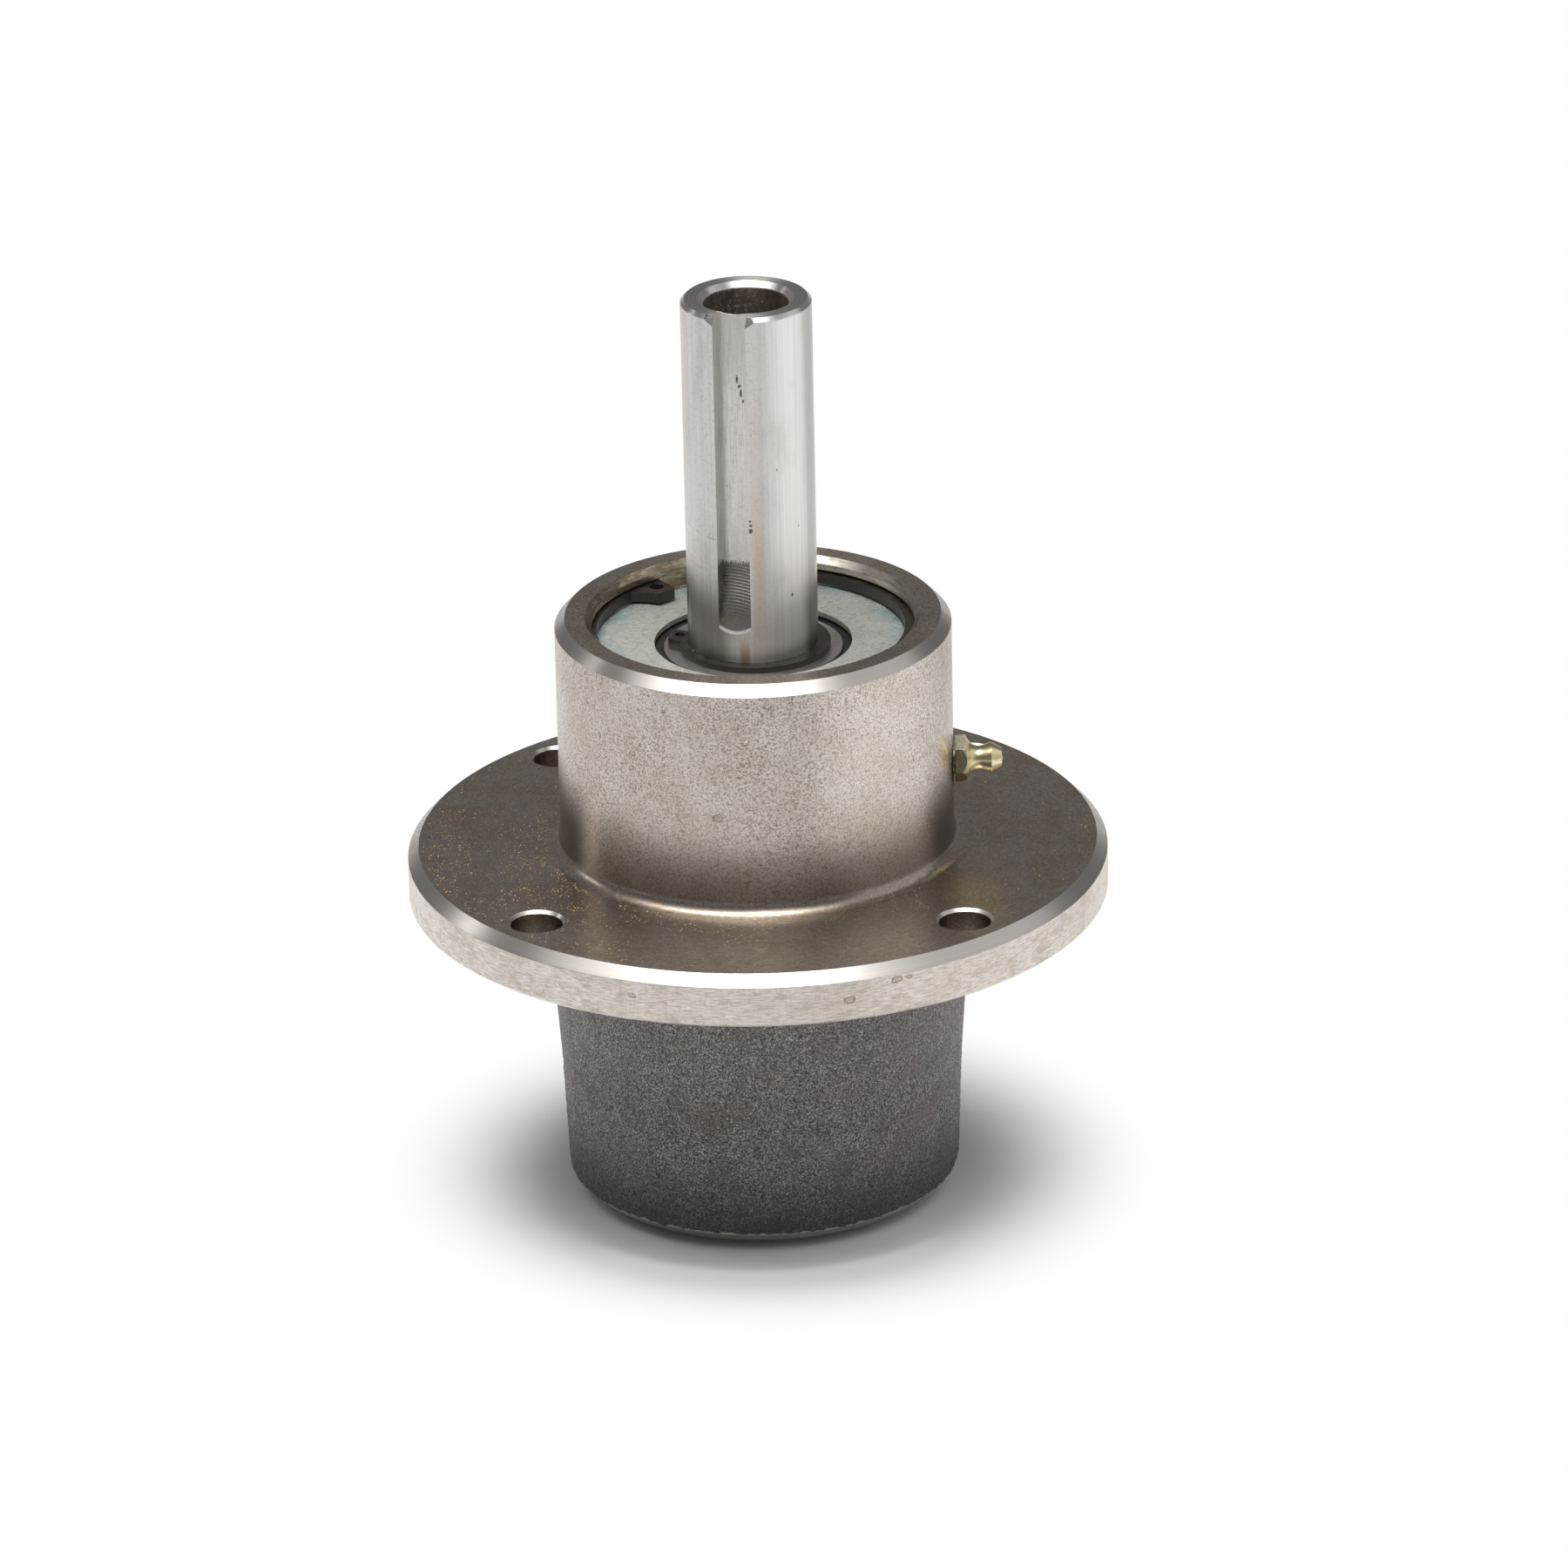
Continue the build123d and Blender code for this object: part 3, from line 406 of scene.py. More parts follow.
WALL_METAL = (0.84, 0.795, 0.745)
WALL_STAIN = (0.72, 0.655, 0.585)
WALL_TURNING = (0.36, 0.305, 0.25)
BOSS_FOOT_PAINTED_SHADE = (0.17, 0.145, 0.125)
FRECKLE = (0.24, 0.18, 0.12)
STAIN_BROWN = (0.33, 0.26, 0.19)
FITTING_PAINTED_SHADOW = (0.07, 0.058, 0.045)
SIDE_PATCH = (0.50, 0.43, 0.35)
SIDE_PAINTED_GLINT = (0.96, 0.94, 0.91)
LIP_PAINTED_HIGHLIGHT = (0.93, 0.91, 0.88)
LEVEL_METAL = (0.60, 0.53, 0.455)
LEVEL_STAIN = (0.50, 0.41, 0.315)
LEVEL_RING = (0.42, 0.37, 0.31)
LEVEL_DARK = (0.33, 0.275, 0.22)
LEVEL_LIGHT = (0.80, 0.745, 0.68)
WORN_DARK = (0.26, 0.21, 0.17)
WORN_LIGHT = (0.84, 0.785, 0.72)
BY_BOSS_PAINTED_SHADE = (0.20, 0.165, 0.135)
RIM_SCUFF = (0.88, 0.80, 0.68)
RIM_GRIME = (0.20, 0.16, 0.125)
RUST_DUST = (0.50, 0.27, 0.09)
GOLD_DUST = (0.82, 0.55, 0.14)
PALE_DUST = (0.86, 0.72, 0.50)
LINT = (0.62, 0.50, 0.34)
SCRATCH_LIGHT = (0.72, 0.66, 0.58)
FILLET_ORANGE = (0.55, 0.40, 0.25)
EDGE_METAL = (0.66, 0.63, 0.59)
EDGE_SHADE = (0.50, 0.465, 0.42)
RECESS_BROWN = (0.30, 0.235, 0.155)
RECESS_WORN = (0.40, 0.345, 0.27)
RECESS_PAINTED_LIGHT = (0.56, 0.51, 0.45)
RECESS_SCORE = (0.70, 0.63, 0.48)
RECESS_GROOVE = (0.17, 0.13, 0.085)
DRILLED_BROWN = (0.20, 0.16, 0.12)
DRILLED_LIGHT = (0.34, 0.29, 0.235)
FACED_BASE = (0.44, 0.42, 0.395)

# Each stain: degrees from the front, height, size, and the radius of the wall it is on.
STAINS = (
    (-11.1, 91.2, 1.15, BOSS_R), (52.0, 76.5, 0.55, BOSS_R), (32.0, 74.2, 0.60, BOSS_R),
    (14.3, 65.6, 1.2, FLANGE_R), (22.2, 68.2, 1.1, FLANGE_R), (24.4, 68.4, 0.7, FLANGE_R),
    (-21.0, 66.4, 0.8, FLANGE_R),
)

housing = Finish("turned_casting")
housing.soften(0.18)
up = housing.split(housing.facing)[2]
from_front = housing.number("ARCTAN2", housing.x, housing.times(housing.y, -1.0))
from_front = housing.times(from_front, 180 / math.pi)
off_front = housing.amount(from_front)

# Which face of the casting is which.
level = housing.rise(up, 0.94, 0.985)
slope = housing.band(up, 0.35, 0.92, 0.1)
over_fillet = housing.times(
    housing.band(housing.radius, BOSS_R + 0.02, FILLET_R, 0.1),
    housing.rise(housing.z, FLANGE_TOP + FILLET_RISE + 0.4, FLANGE_TOP + FILLET_RISE),
)
edge = housing.times(slope, housing.less(over_fillet))
side = housing.rise(housing.radius, FLANGE_BEVEL_R, FLANGE_BEVEL_R + 0.5)
not_side = housing.less(side)
inside = housing.times(housing.rise(housing.radius, RECESS_R + 0.3, RECESS_R), housing.less(level))
low = housing.rise(housing.z, FLANGE_BOTTOM + 0.3, FLANGE_BOTTOM - 0.3)
drilled = housing.times(
    housing.band(housing.radius, BOLT_HOLES_INNER_R, BOLT_HOLES_OUTER_R, 0.2),
    housing.rise(housing.z, FLANGE_TOP - 0.05, FLANGE_TOP - 0.15),
)
on_rim = housing.rise(housing.z, RIM_TOP - 0.6, RIM_TOP - 0.3)

# The grains that several faces share.
clouds = housing.grain(9, detail=4, rough=0.6)
fine = housing.grain(0.38, detail=3, rough=0.75, shift=5)
peel = housing.grain(0.70, detail=2, shift=27)
worn = housing.grain(0.60, detail=4, rough=0.8, shift=61)
upright = housing.grain(0.5, stretch=(1, 1, 14), detail=2, shift=9)
rings = housing.grain(0.22, place=housing.point(housing.radius, housing.z), detail=3, rough=0.7)
round_place = housing.point(housing.plus(housing.radius, housing.z), housing.times(from_front, 0.09))
lay = housing.grain(0.17, place=round_place, detail=3, rough=0.7, shift=14)

# The walls: freckled metal with lathe lines and stains, painted shade towards the boss's foot, painted glints
# and a painted highlight on the flange's side, and a painted shadow round the grease fitting.
mottle = housing.plus(housing.times(clouds, 0.7), housing.times(upright, 0.3))
wall = housing.mix(housing.rise(mottle, 0.36, 0.66), WALL_METAL, WALL_STAIN)
freckled = housing.rise(housing.grain(20, detail=2, shift=2), 0.34, 0.66, 0.65, 1.0)
freckled = housing.times(freckled, housing.rise(side, 0, 1, 1.0, 0.16))
wall = housing.tint(wall, FRECKLE, housing.rise(fine, 0.46, 0.60), freckled, 0.76)
wall = housing.tint(wall, FRECKLE, housing.rise(peel, 0.61, 0.67), freckled, 0.7)
along_place = housing.point(housing.z, housing.times(housing.x, 0.03), housing.times(housing.y, 0.03))
brushed = housing.grain(0.28, place=along_place, detail=3)
wall = housing.tint(wall, WALL_STAIN, housing.rise(brushed, 0.42, 0.66), side, 0.5)
wall = housing.tint(wall, WALL_TURNING, housing.rise(lay, 0.44, 0.62), housing.rise(side, 0, 1, 0.22, 0.55))
# Painted shade: the boss darkens towards the flange, a little at the front and more at the sides, for the
# dark flange it reflects.
front_foot_painted_shade = housing.rise(housing.z, *FRONT_SHADE_HEIGHTS, 0.0, 0.62)
side_foot_painted_shade = housing.rise(off_front, *SIDE_SHADE_ANGLES, 0.0, 0.86)
side_foot_painted_shade = housing.times(housing.rise(housing.z, *SIDE_SHADE_HEIGHTS), side_foot_painted_shade)
wall = housing.tint(wall, BOSS_FOOT_PAINTED_SHADE, housing.most(front_foot_painted_shade, side_foot_painted_shade), not_side)
# Painted glints: near-white streaks along the flange's side, more of them towards the left.
leftward_glint_share = housing.rise(from_front, 0, -45, 0.2, 0.6)
wall = housing.tint(wall, SIDE_PAINTED_GLINT, housing.rise(lay, 0.45, 0.36), side, leftward_glint_share)
# Painted highlight: a thin light line along the lower edge of the flange's side.
lip_highlight = housing.times(side, housing.rise(housing.z, FLANGE_BOTTOM + 0.75, FLANGE_BOTTOM + 0.45))
wall = housing.tint(wall, LIP_PAINTED_HIGHLIGHT, lip_highlight, 0.8)
patch = housing.rise(housing.grain(5, stretch=(1, 1, 0.6), detail=6, rough=0.8, shift=21), 0.50, 0.60)
wall = housing.tint(wall, SIDE_PATCH, side, patch, 0.60)
pits = housing.specks(5.5, 0.55, 0.16, shift=4)[0]
wall = housing.tint(wall, FRECKLE, pits, 0.7)
stained = 0.0
for degrees, height, size, reach in STAINS:
    sideways = housing.times(housing.minus(from_front, degrees), math.radians(1) * reach / size)
    upward = housing.times(housing.minus(housing.z, height), 1.5 / size)
    ragged = housing.rise(housing.grain(0.7), 0.3, 0.7, -0.5, 0.5)
    wavy = housing.plus(housing.sum_of_squares(sideways, upward), ragged)
    ring = housing.plus(housing.rise(wavy, 1.05, 0.80, 0.0, 0.45), housing.band(wavy, 0.55, 1.0, 0.3))
    here = housing.rise(housing.amount(housing.minus(housing.radius, reach)), 0.6, 0.5)
    stained = housing.most(housing.times(ring, here, 0.95), stained)
wall = housing.mix(stained, wall, STAIN_BROWN)
# Painted shadow: a dark ragged ring on the boss round the grease fitting, where the two meet.
from_fitting = housing.distance(housing.y, housing.minus(housing.z, FITTING_Z))
ragged_fitting_reach = housing.plus(from_fitting, housing.rise(housing.grain(2.0, detail=3, shift=71), 0.3, 0.7, -0.8, 0.8))
fitting_shadow = housing.times(housing.rise(ragged_fitting_reach, *FITTING_SHADOW_RADII), housing.rise(housing.x, 30, 34))
wall = housing.tint(wall, FITTING_PAINTED_SHADOW, fitting_shadow, 0.9)

# The level faces: brown with wear, painted shade on the flange in front of the boss, a scuffed rim, and grit,
# lint and scratches.
cloudy = housing.rise(housing.grain(7, detail=5, rough=0.65, shift=31), 0.40, 0.68)
flat = housing.mix(cloudy, LEVEL_METAL, LEVEL_STAIN)
flat = housing.mix(housing.rise(rings, 0.35, 0.75, 0.0, 0.35), flat, LEVEL_RING)
flat = housing.mix(housing.rise(lay, 0.48, 0.60, 0.0, 0.45), flat, LEVEL_DARK)
flat = housing.mix(housing.rise(lay, 0.46, 0.36, 0.0, 0.38), flat, LEVEL_LIGHT)
flat = housing.mix(housing.rise(worn, 0.48, 0.62, 0.0, 0.50), flat, WORN_DARK)
flat = housing.mix(housing.rise(worn, 0.42, 0.34, 0.0, 0.50), flat, WORN_LIGHT)
# Painted shade: the flange top darkens towards the boss at the front, over the reflection of the bright boss
# wall.
by_boss_shade = housing.rise(housing.radius, *BOSS_SHADE_RADII, 0.10, 0.42)
flat = housing.tint(flat, BY_BOSS_PAINTED_SHADE, by_boss_shade, housing.rise(off_front, 75, 35))
scuffs = housing.grain(0.85, detail=4, rough=0.8, shift=51)
flat = housing.tint(flat, RIM_SCUFF, on_rim, housing.rise(scuffs, 0.58, 0.66, 0.0, 0.70))
flat = housing.tint(flat, RIM_GRIME, on_rim, housing.rise(scuffs, 0.48, 0.38, 0.0, 0.60))
drift = housing.rise(housing.grain(11, detail=3, shift=41), 0.46, 0.62)
drift = housing.times(drift, housing.rise(housing.x, 45, -50, 0.12, 1.0))
dust, tone = housing.specks(0.62, 0.19, 0.12, shift=7)
flat = housing.tint(flat, housing.mix(housing.rise(tone, 0.35, 0.75), RUST_DUST, GOLD_DUST), dust, drift)
pale_dust = housing.specks(0.80, 0.30, 0.42, shift=17)[0]
flat = housing.tint(flat, PALE_DUST, pale_dust, housing.rise(drift, 0.05, 0.5, 0.30, 1.0), 0.9)
lint = housing.hairs(1.5, 0.020, 0.34, shift=13)
flat = housing.tint(flat, LINT, lint, housing.rise(drift, 0, 0.6, 0.1, 0.6))
scratches = housing.hairs(9, 0.0042, 0.6, shift=23)
flat = housing.tint(flat, SCRATCH_LIGHT, scratches, 0.6)

# The fillet, the cut edges, the scored wall of the recess with painted light on its right side, and the
# drilled holes.
fillet = housing.mix(housing.rise(up, 0.25, 0.85), wall, flat)
orange = housing.rise(housing.grain(2.2, detail=3, shift=8), 0.52, 0.66)
orange = housing.times(orange, housing.band(up, 0.5, 0.95, 0.2))
fillet = housing.tint(fillet, FILLET_ORANGE, orange, 0.32)
cut_edge = housing.mix(housing.rise(rings, 0.40, 0.66, 0.0, 0.6), EDGE_METAL, EDGE_SHADE)
old_wear = housing.rise(housing.grain(2.5, detail=5, rough=0.7, shift=6), 0.38, 0.62)
recess = housing.mix(old_wear, RECESS_BROWN, RECESS_WORN)
# Painted light: the recess wall turns lighter towards the right.
recess = housing.mix(housing.rise(housing.x, -12, 18), recess, RECESS_PAINTED_LIGHT)
scored_place = housing.point(housing.times(housing.z, 1.2), housing.times(from_front, 0.10))
scored = housing.grain(0.5, place=scored_place, detail=4, rough=0.75, shift=19)
recess = housing.mix(housing.rise(scored, 0.52, 0.62, 0.0, 0.65), recess, RECESS_SCORE)
recess = housing.mix(housing.rise(scored, 0.46, 0.36, 0.0, 0.60), recess, RECESS_GROOVE)
hole = housing.mix(housing.rise(fine, 0.40, 0.62), DRILLED_BROWN, DRILLED_LIGHT)

colour = housing.mix(level, wall, flat)
colour = housing.mix(over_fillet, colour, fillet)
colour = housing.mix(edge, colour, cut_edge)
colour = housing.mix(inside, colour, recess)
colour = housing.tint(colour, hole, drilled, housing.less(slope))
colour = housing.tint(colour, FACED_BASE, low, housing.rise(housing.z, BASE_EDGE + 0.2, BASE_EDGE))
housing.set(Base_Color=colour, Metallic=housing.rise(housing.times(dust, drift, level), 0.2, 0.6, 1.0, 0.15))

gloss = housing.blend(level, 0.29, housing.blend(on_rim, 0.28, 0.32))
gloss = housing.blend(edge, gloss, 0.28)
gloss = housing.blend(over_fillet, gloss, 0.28)
gloss = housing.plus(gloss, housing.times(housing.rise(fine, 0.4, 0.75, 0.0, 0.05), housing.less(edge)))
housing.set(Roughness=housing.plus(gloss, housing.times(clouds, 0.02)))
housing.lathe_lines(0.45)
housing.relief(housing.times(rings, housing.rise(edge, 0, 1, 1.0, 0.25)), 0.007)
uneven = housing.plus(housing.plus(fine, housing.times(lay, 1.2)), housing.times(pits, -1.5))
housing.relief(housing.times(uneven, housing.less(housing.most(edge, over_fillet))), 0.008)
housing.cover("spindle_housing")


# Below the flange the casting keeps the skin that the sand mould left: grey, grainy and never turned.
# It is a sleeve of real relief over the tapered wall. It ends in a ragged line where the base was faced off.
LOWER_R_TOP = 40.2
LOWER_R_BASE = 37.8
LOWER_WALL_TOP = 60.9
LOWER_FILLET = 3.0
HOUSING_FOOT = 1.9
SKIN_EDGE = 4.0
SKIN_EDGE_WANDER = 0.45
SKIN_PROUD = 0.10
SKIN_DEPTH = 0.5
SKIN_SIDES = 560
SKIN_ROWS = 150
GRAIN_RELIEF = 0.17
GRAIN_SIZE = 0.95
SWELL_SIZE = 9

SAND_DARK = (0.105, 0.093, 0.085)
SAND_LIGHT = (0.285, 0.262, 0.242)
SAND_CREST = (0.60, 0.575, 0.55)
SAND_HOLLOW = (0.024, 0.022, 0.020)
SAND_BLOTCH = (0.115, 0.100, 0.093)
PURPLE_SCALE = (0.20, 0.145, 0.15)
CAST_RUST = (0.36, 0.22, 0.12)
BARE_SPARK = (0.66, 0.64, 0.61)
BLOW_HOLE = (0.03, 0.026, 0.024)
CAST_FOOT = (0.020, 0.018, 0.017)


def lower_wall(z):
    """Radius of the tapered lower body at height z, with the round corner under the flange."""
    share = (z - HOUSING_FOOT) / (FLANGE_BOTTOM - HOUSING_FOOT)
    wall = LOWER_R_BASE + share * (LOWER_R_TOP - LOWER_R_BASE)
    into_corner = z - (FLANGE_BOTTOM - LOWER_FILLET)
    if into_corner > 0:
        wall += LOWER_FILLET - math.sqrt(LOWER_FILLET**2 - into_corner**2)
    return wall


def sand_grain(x, y, z):
    """Height of the sand's print at a point, about -1 to 1."""
    coarse = noise.noise((x / GRAIN_SIZE, y / GRAIN_SIZE, z / GRAIN_SIZE))
    fine_size = GRAIN_SIZE * 0.45
    print_marks = noise.noise((x / fine_size, y / fine_size, z / fine_size + 40))
    swell = noise.noise((x / SWELL_SIZE, y / SWELL_SIZE, z / SWELL_SIZE + 80))
    return coarse + 0.7 * print_marks + 0.5 * swell


def sleeve(name, rows, sides, ring):
    """A closed tube whose rows of points come from ring(row, angle), as radius and height in millimetres."""
    points, faces = [], []
    for row in range(rows):
        for i in range(sides):
            angle = 2 * math.pi * i / sides
            radius, z = ring(row, angle)
            points.append((radius * math.cos(angle) * MM, radius * math.sin(angle) * MM, z * MM))
    for row in range(rows):
        start, above = row * sides, (row + 1) % rows * sides
        for i in range(sides):
            j = (i + 1) % sides
            faces.append((start + i, start + j, above + j, above + i))
    piece = new_piece(name, points, faces)
    piece.data.polygons.foreach_set("use_smooth", [True] * len(faces))
    return piece


def skin_ring(row, angle):
    """The sleeve's outside from its ragged edge up, then two rows inside the wall that close it."""
    x, y = math.cos(angle) * 30, math.sin(angle) * 30
    wander = 0.4 + noise.noise((x, y, 3)) + 0.6 * noise.noise((x * 3, y * 3, 9))
    foot = SKIN_EDGE + SKIN_EDGE_WANDER * wander
    if row >= SKIN_ROWS:
        z = LOWER_WALL_TOP if row == SKIN_ROWS else foot
        return lower_wall(z) - SKIN_DEPTH, z
    z = foot + (LOWER_WALL_TOP - foot) * row / (SKIN_ROWS - 1)
    wall = lower_wall(z)
    at_edge = min(1.0, row / 2)
    lift = SKIN_PROUD + GRAIN_RELIEF * sand_grain(wall * math.cos(angle), wall * math.sin(angle), z)
    return wall + max(0.01, lift * at_edge), z


skin = sleeve("lower_body_cast_skin", SKIN_ROWS + 2, SKIN_SIDES, skin_ring)
cast = Finish("sand_cast_iron")
coarse = cast.grain(0.62, detail=3, rough=0.75)
blotch = cast.grain(6, detail=4, rough=0.6, shift=3)
sand = cast.grain(0.34, detail=3, rough=0.8, shift=33)
colour = cast.mix(cast.rise(coarse, 0.33, 0.68), SAND_DARK, SAND_LIGHT)
colour = cast.mix(cast.rise(sand, 0.52, 0.62, 0.0, 0.95), colour, SAND_CREST)
colour = cast.mix(cast.rise(sand, 0.49, 0.40, 0.0, 0.95), colour, SAND_HOLLOW)
colour = cast.mix(cast.rise(blotch, 0.42, 0.68, 0.0, 0.45), colour, SAND_BLOTCH)
purple = cast.times(cast.rise(cast.x, 0, 30), cast.rise(cast.grain(8, shift=15), 0.45, 0.62))
colour = cast.tint(colour, PURPLE_SCALE, purple, 0.35)
rusty = cast.times(cast.rise(cast.grain(1.6, detail=3, shift=44), 0.60, 0.70), cast.rise(blotch, 0.5, 0.6))
colour = cast.tint(colour, CAST_RUST, rusty, 0.4)
sparks, tone = cast.specks(0.62, 0.24, 0.36, shift=6)
colour = cast.tint(colour, BARE_SPARK, sparks, cast.rise(tone, 0.2, 0.9, 0.35, 0.95))
colour = cast.tint(colour, BLOW_HOLE, cast.specks(2.6, 0.5, 0.2, shift=12)[0], 0.8)
colour = cast.mix(cast.rise(cast.z, 24, 3, 0.0, 0.72), colour, CAST_FOOT)
cast.set(Base_Color=colour, Metallic=0.2, Roughness=cast.rise(coarse, 0.3, 0.7, 0.60, 0.36))
cast.relief(cast.grain(0.36, detail=4, rough=0.8, shift=2), 0.28)
cast.relief(sparks, 0.05)
skin.data.materials.append(cast.material)
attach(skin, "housing")


# Crumbs of rust and grinding grit lie on the oily flange, most of them at the left and some along the fillet.
# Each is a small broken grain. They gather in drifts, and keep clear of the four bolt holes.
CRUMB_COUNT = 1500
CRUMB_SIZES = (0.05, 0.17)
CRUMB_OUTER_R = 64.8
FILLET_SHARE = 0.10
LEFT_SHARE = 0.75
LEFT_ANGLE = 208
LEFT_SPREAD = 30
DRIFT_SIZE = 8
DRIFT_LEVELS = (-0.30, 0.42)
BIG_SHARE = 0.06
BIG_SCALE = 1.5
BOLT_CIRCLE_R = mounts["deck_bolts"]["dims"]["pcd_mm"] / 2
BOLT_ANGLES = (42.6, 132.6, 222.6, 312.6)
HOLE_MARGIN = 5.9

CRUMB_RUST = (0.45, 0.23, 0.07)
CRUMB_GOLD = (0.95, 0.66, 0.17)
CRUMB_PALE = (0.88, 0.78, 0.58)
CRUMB_SHADE = (0.40, 0.24, 0.10)

chance = random.Random(11)


def grit(name, places, body):
    """One mesh of small broken grains, each a squashed octahedron with its corners pushed about."""
    points, faces = [], []
    for x, y, z, size in places:
        first = len(points)
        for corner in ((1, 0, 0), (0, 1, 0), (-1, 0, 0), (0, -1, 0), (0, 0, 1), (0, 0, -1)):
            stretch = size * chance.uniform(0.55, 1.25)
            squash = 0.6 if corner[2] else 1
            z_corner = z + corner[2] * stretch * squash
            points.append(((x + corner[0] * stretch) * MM, (y + corner[1] * stretch) * MM, z_corner * MM))
        for i in range(4):
            j = (i + 1) % 4
            faces.append((first + i, first + j, first + 4))
            faces.append((first + j, first + i, first + 5))
    piece = new_piece(name, points, faces)
    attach(piece, body)
    return piece


def clear_of_holes(x, y):
    for degrees in BOLT_ANGLES:
        hole_x = BOLT_CIRCLE_R * math.cos(math.radians(degrees))
        hole_y = BOLT_CIRCLE_R * math.sin(math.radians(degrees))
        if math.hypot(x - hole_x, y - hole_y) < HOLE_MARGIN:
            return False
    return True


places = []
while len(places) < CRUMB_COUNT:
    by_fillet = chance.random() < FILLET_SHARE
    reach = chance.gauss(FILLET_R + 1.2, 0.9) if by_fillet else chance.uniform(FILLET_R + 0.5, CRUMB_OUTER_R)
    at_left = chance.random() < LEFT_SHARE
    angle = math.radians(chance.gauss(LEFT_ANGLE, LEFT_SPREAD) if at_left else chance.uniform(0, 360))
    x, y = reach * math.cos(angle), reach * math.sin(angle)
    gathered = noise.noise((x / DRIFT_SIZE, y / DRIFT_SIZE, 5)) > chance.uniform(*DRIFT_LEVELS)
    if reach > FILLET_R + 0.2 and gathered and clear_of_holes(x, y):
        size = chance.uniform(*CRUMB_SIZES) * (BIG_SCALE if chance.random() < BIG_SHARE else 1)
        places.append((x, y, FLANGE_TOP + size * 0.3, size))
crumbs = grit("flange_grit", places, "housing")
gold = Finish("rust_and_grit")
shade = gold.add("ShaderNodeNewGeometry").outputs["Random Per Island"]
colour = gold.mix(gold.rise(shade, 0.20, 0.40), CRUMB_RUST, CRUMB_GOLD)
colour = gold.mix(gold.rise(shade, 0.72, 0.80), colour, CRUMB_PALE)
gold.set(Base_Color=gold.mix(gold.grain(0.1), colour, CRUMB_SHADE), Roughness=0.55, Metallic=0.1)
crumbs.data.materials.append(gold.material)


# The shaft is ground bright steel, bored through for the blade bolt, with a milled keyway open at its top.
# Its walls show light in upright bands, its top is faced, and the cutter has left chatter in the run-out.
SHAFT_R = mounts["pulley_shaft"]["dims"]["r_mm"]
SHAFT_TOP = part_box("spindle_shaft")[1].z / MM
BOLT_BORE_R = mounts["blade_bolt_bore"]["dims"]["r_mm"]
KEY_ANGLE = -106.4
KEY_HALF_WIDTH = 3.175
KEY_RAMP_START = 118.3
KEY_RAMP_END = 132.0
KEY_SHADE_HEIGHTS = (158, 181)
CHATTER_PITCH = 0.62
FACET_ANGLE = 23.5
FACET_DEPTH = 2.2
BLUSH_ANGLES = (15.5, 29)
ORANGE_ANGLES = (17, 27)
ORANGE_HEIGHTS = (118, 146)
DRIP_ANGLES = (5.5, 13)
DRIP_HEIGHTS = (118.0, 114.5)
LINE_ANGLES = (-72, -15)
LINE_HEIGHT = 137.4
HIGHLIGHT_LINE_ANGLES = (-58.5, -55.5)
LEFT_FOOT_HEIGHTS = (131, 120)
FAR_FOOT_HEIGHTS = (132, 119)
LOW_FOOT_HEIGHTS = (127, 117)

GROUND_STEEL = (0.905, 0.89, 0.875)
STEEL_SHADE = (0.78, 0.765, 0.745)
STEEL_CLOUD = (0.55, 0.52, 0.485)
STEEL_BLUSH = (0.78, 0.71, 0.665)
STEEL_ORANGE = (0.62, 0.44, 0.30)
STEEL_MOTTLE = (0.42, 0.39, 0.36)
RUST_STREAK = (0.52, 0.33, 0.17)
STEEL_FRECKLE = (0.30, 0.24, 0.18)
LINE_SHADE = (0.28, 0.24, 0.20)
PIT_DARK = (0.10, 0.08, 0.06)
MILLED_STEEL = (0.93, 0.91, 0.885)
MILLED_LINE = (0.76, 0.74, 0.71)
KEYWAY_PAINTED_SHADOW = (0.38, 0.36, 0.34)
RAMP_DARK = (0.145, 0.13, 0.12)
RAMP_RUST = (0.34, 0.21, 0.12)
RUN_OUT_LIGHT = (0.96, 0.95, 0.93)
FILED_LEFT_PAINTED_SHADE = (0.105, 0.10, 0.105)
FILED_RIGHT_PAINTED_SHADE = (0.25, 0.235, 0.215)
FACED_LIGHT = (0.82, 0.80, 0.765)
FACED_DARK = (0.58, 0.56, 0.53)
SHAFT_FOOT_PAINTED_SHADE = (0.10, 0.085, 0.074)
OLD_OIL = (0.055, 0.040, 0.028)
OIL_FILM = (0.11, 0.085, 0.06)
BORE_GRIT = (0.48, 0.44, 0.38)

# Each pit: degrees from the keyway, height, width and length. They lie on the keyway's floor and beside it.
PITS = (
    (15.6, 141.6, 0.30, 0.28), (16.4, 140.7, 0.34, 0.30), (16.0, 139.6, 0.42, 0.50),
    (54.0, 125.4, 0.22, 0.50), (3.4, 168.9, 0.34, 0.95), (6.2, 167.6, 0.50, 0.42),
    (8.0, 166.2, 0.34, 0.80), (10.4, 164.6, 0.26, 0.45), (41.0, 151.5, 0.16, 0.22), (63.0, 139.0, 0.18, 0.20),
)

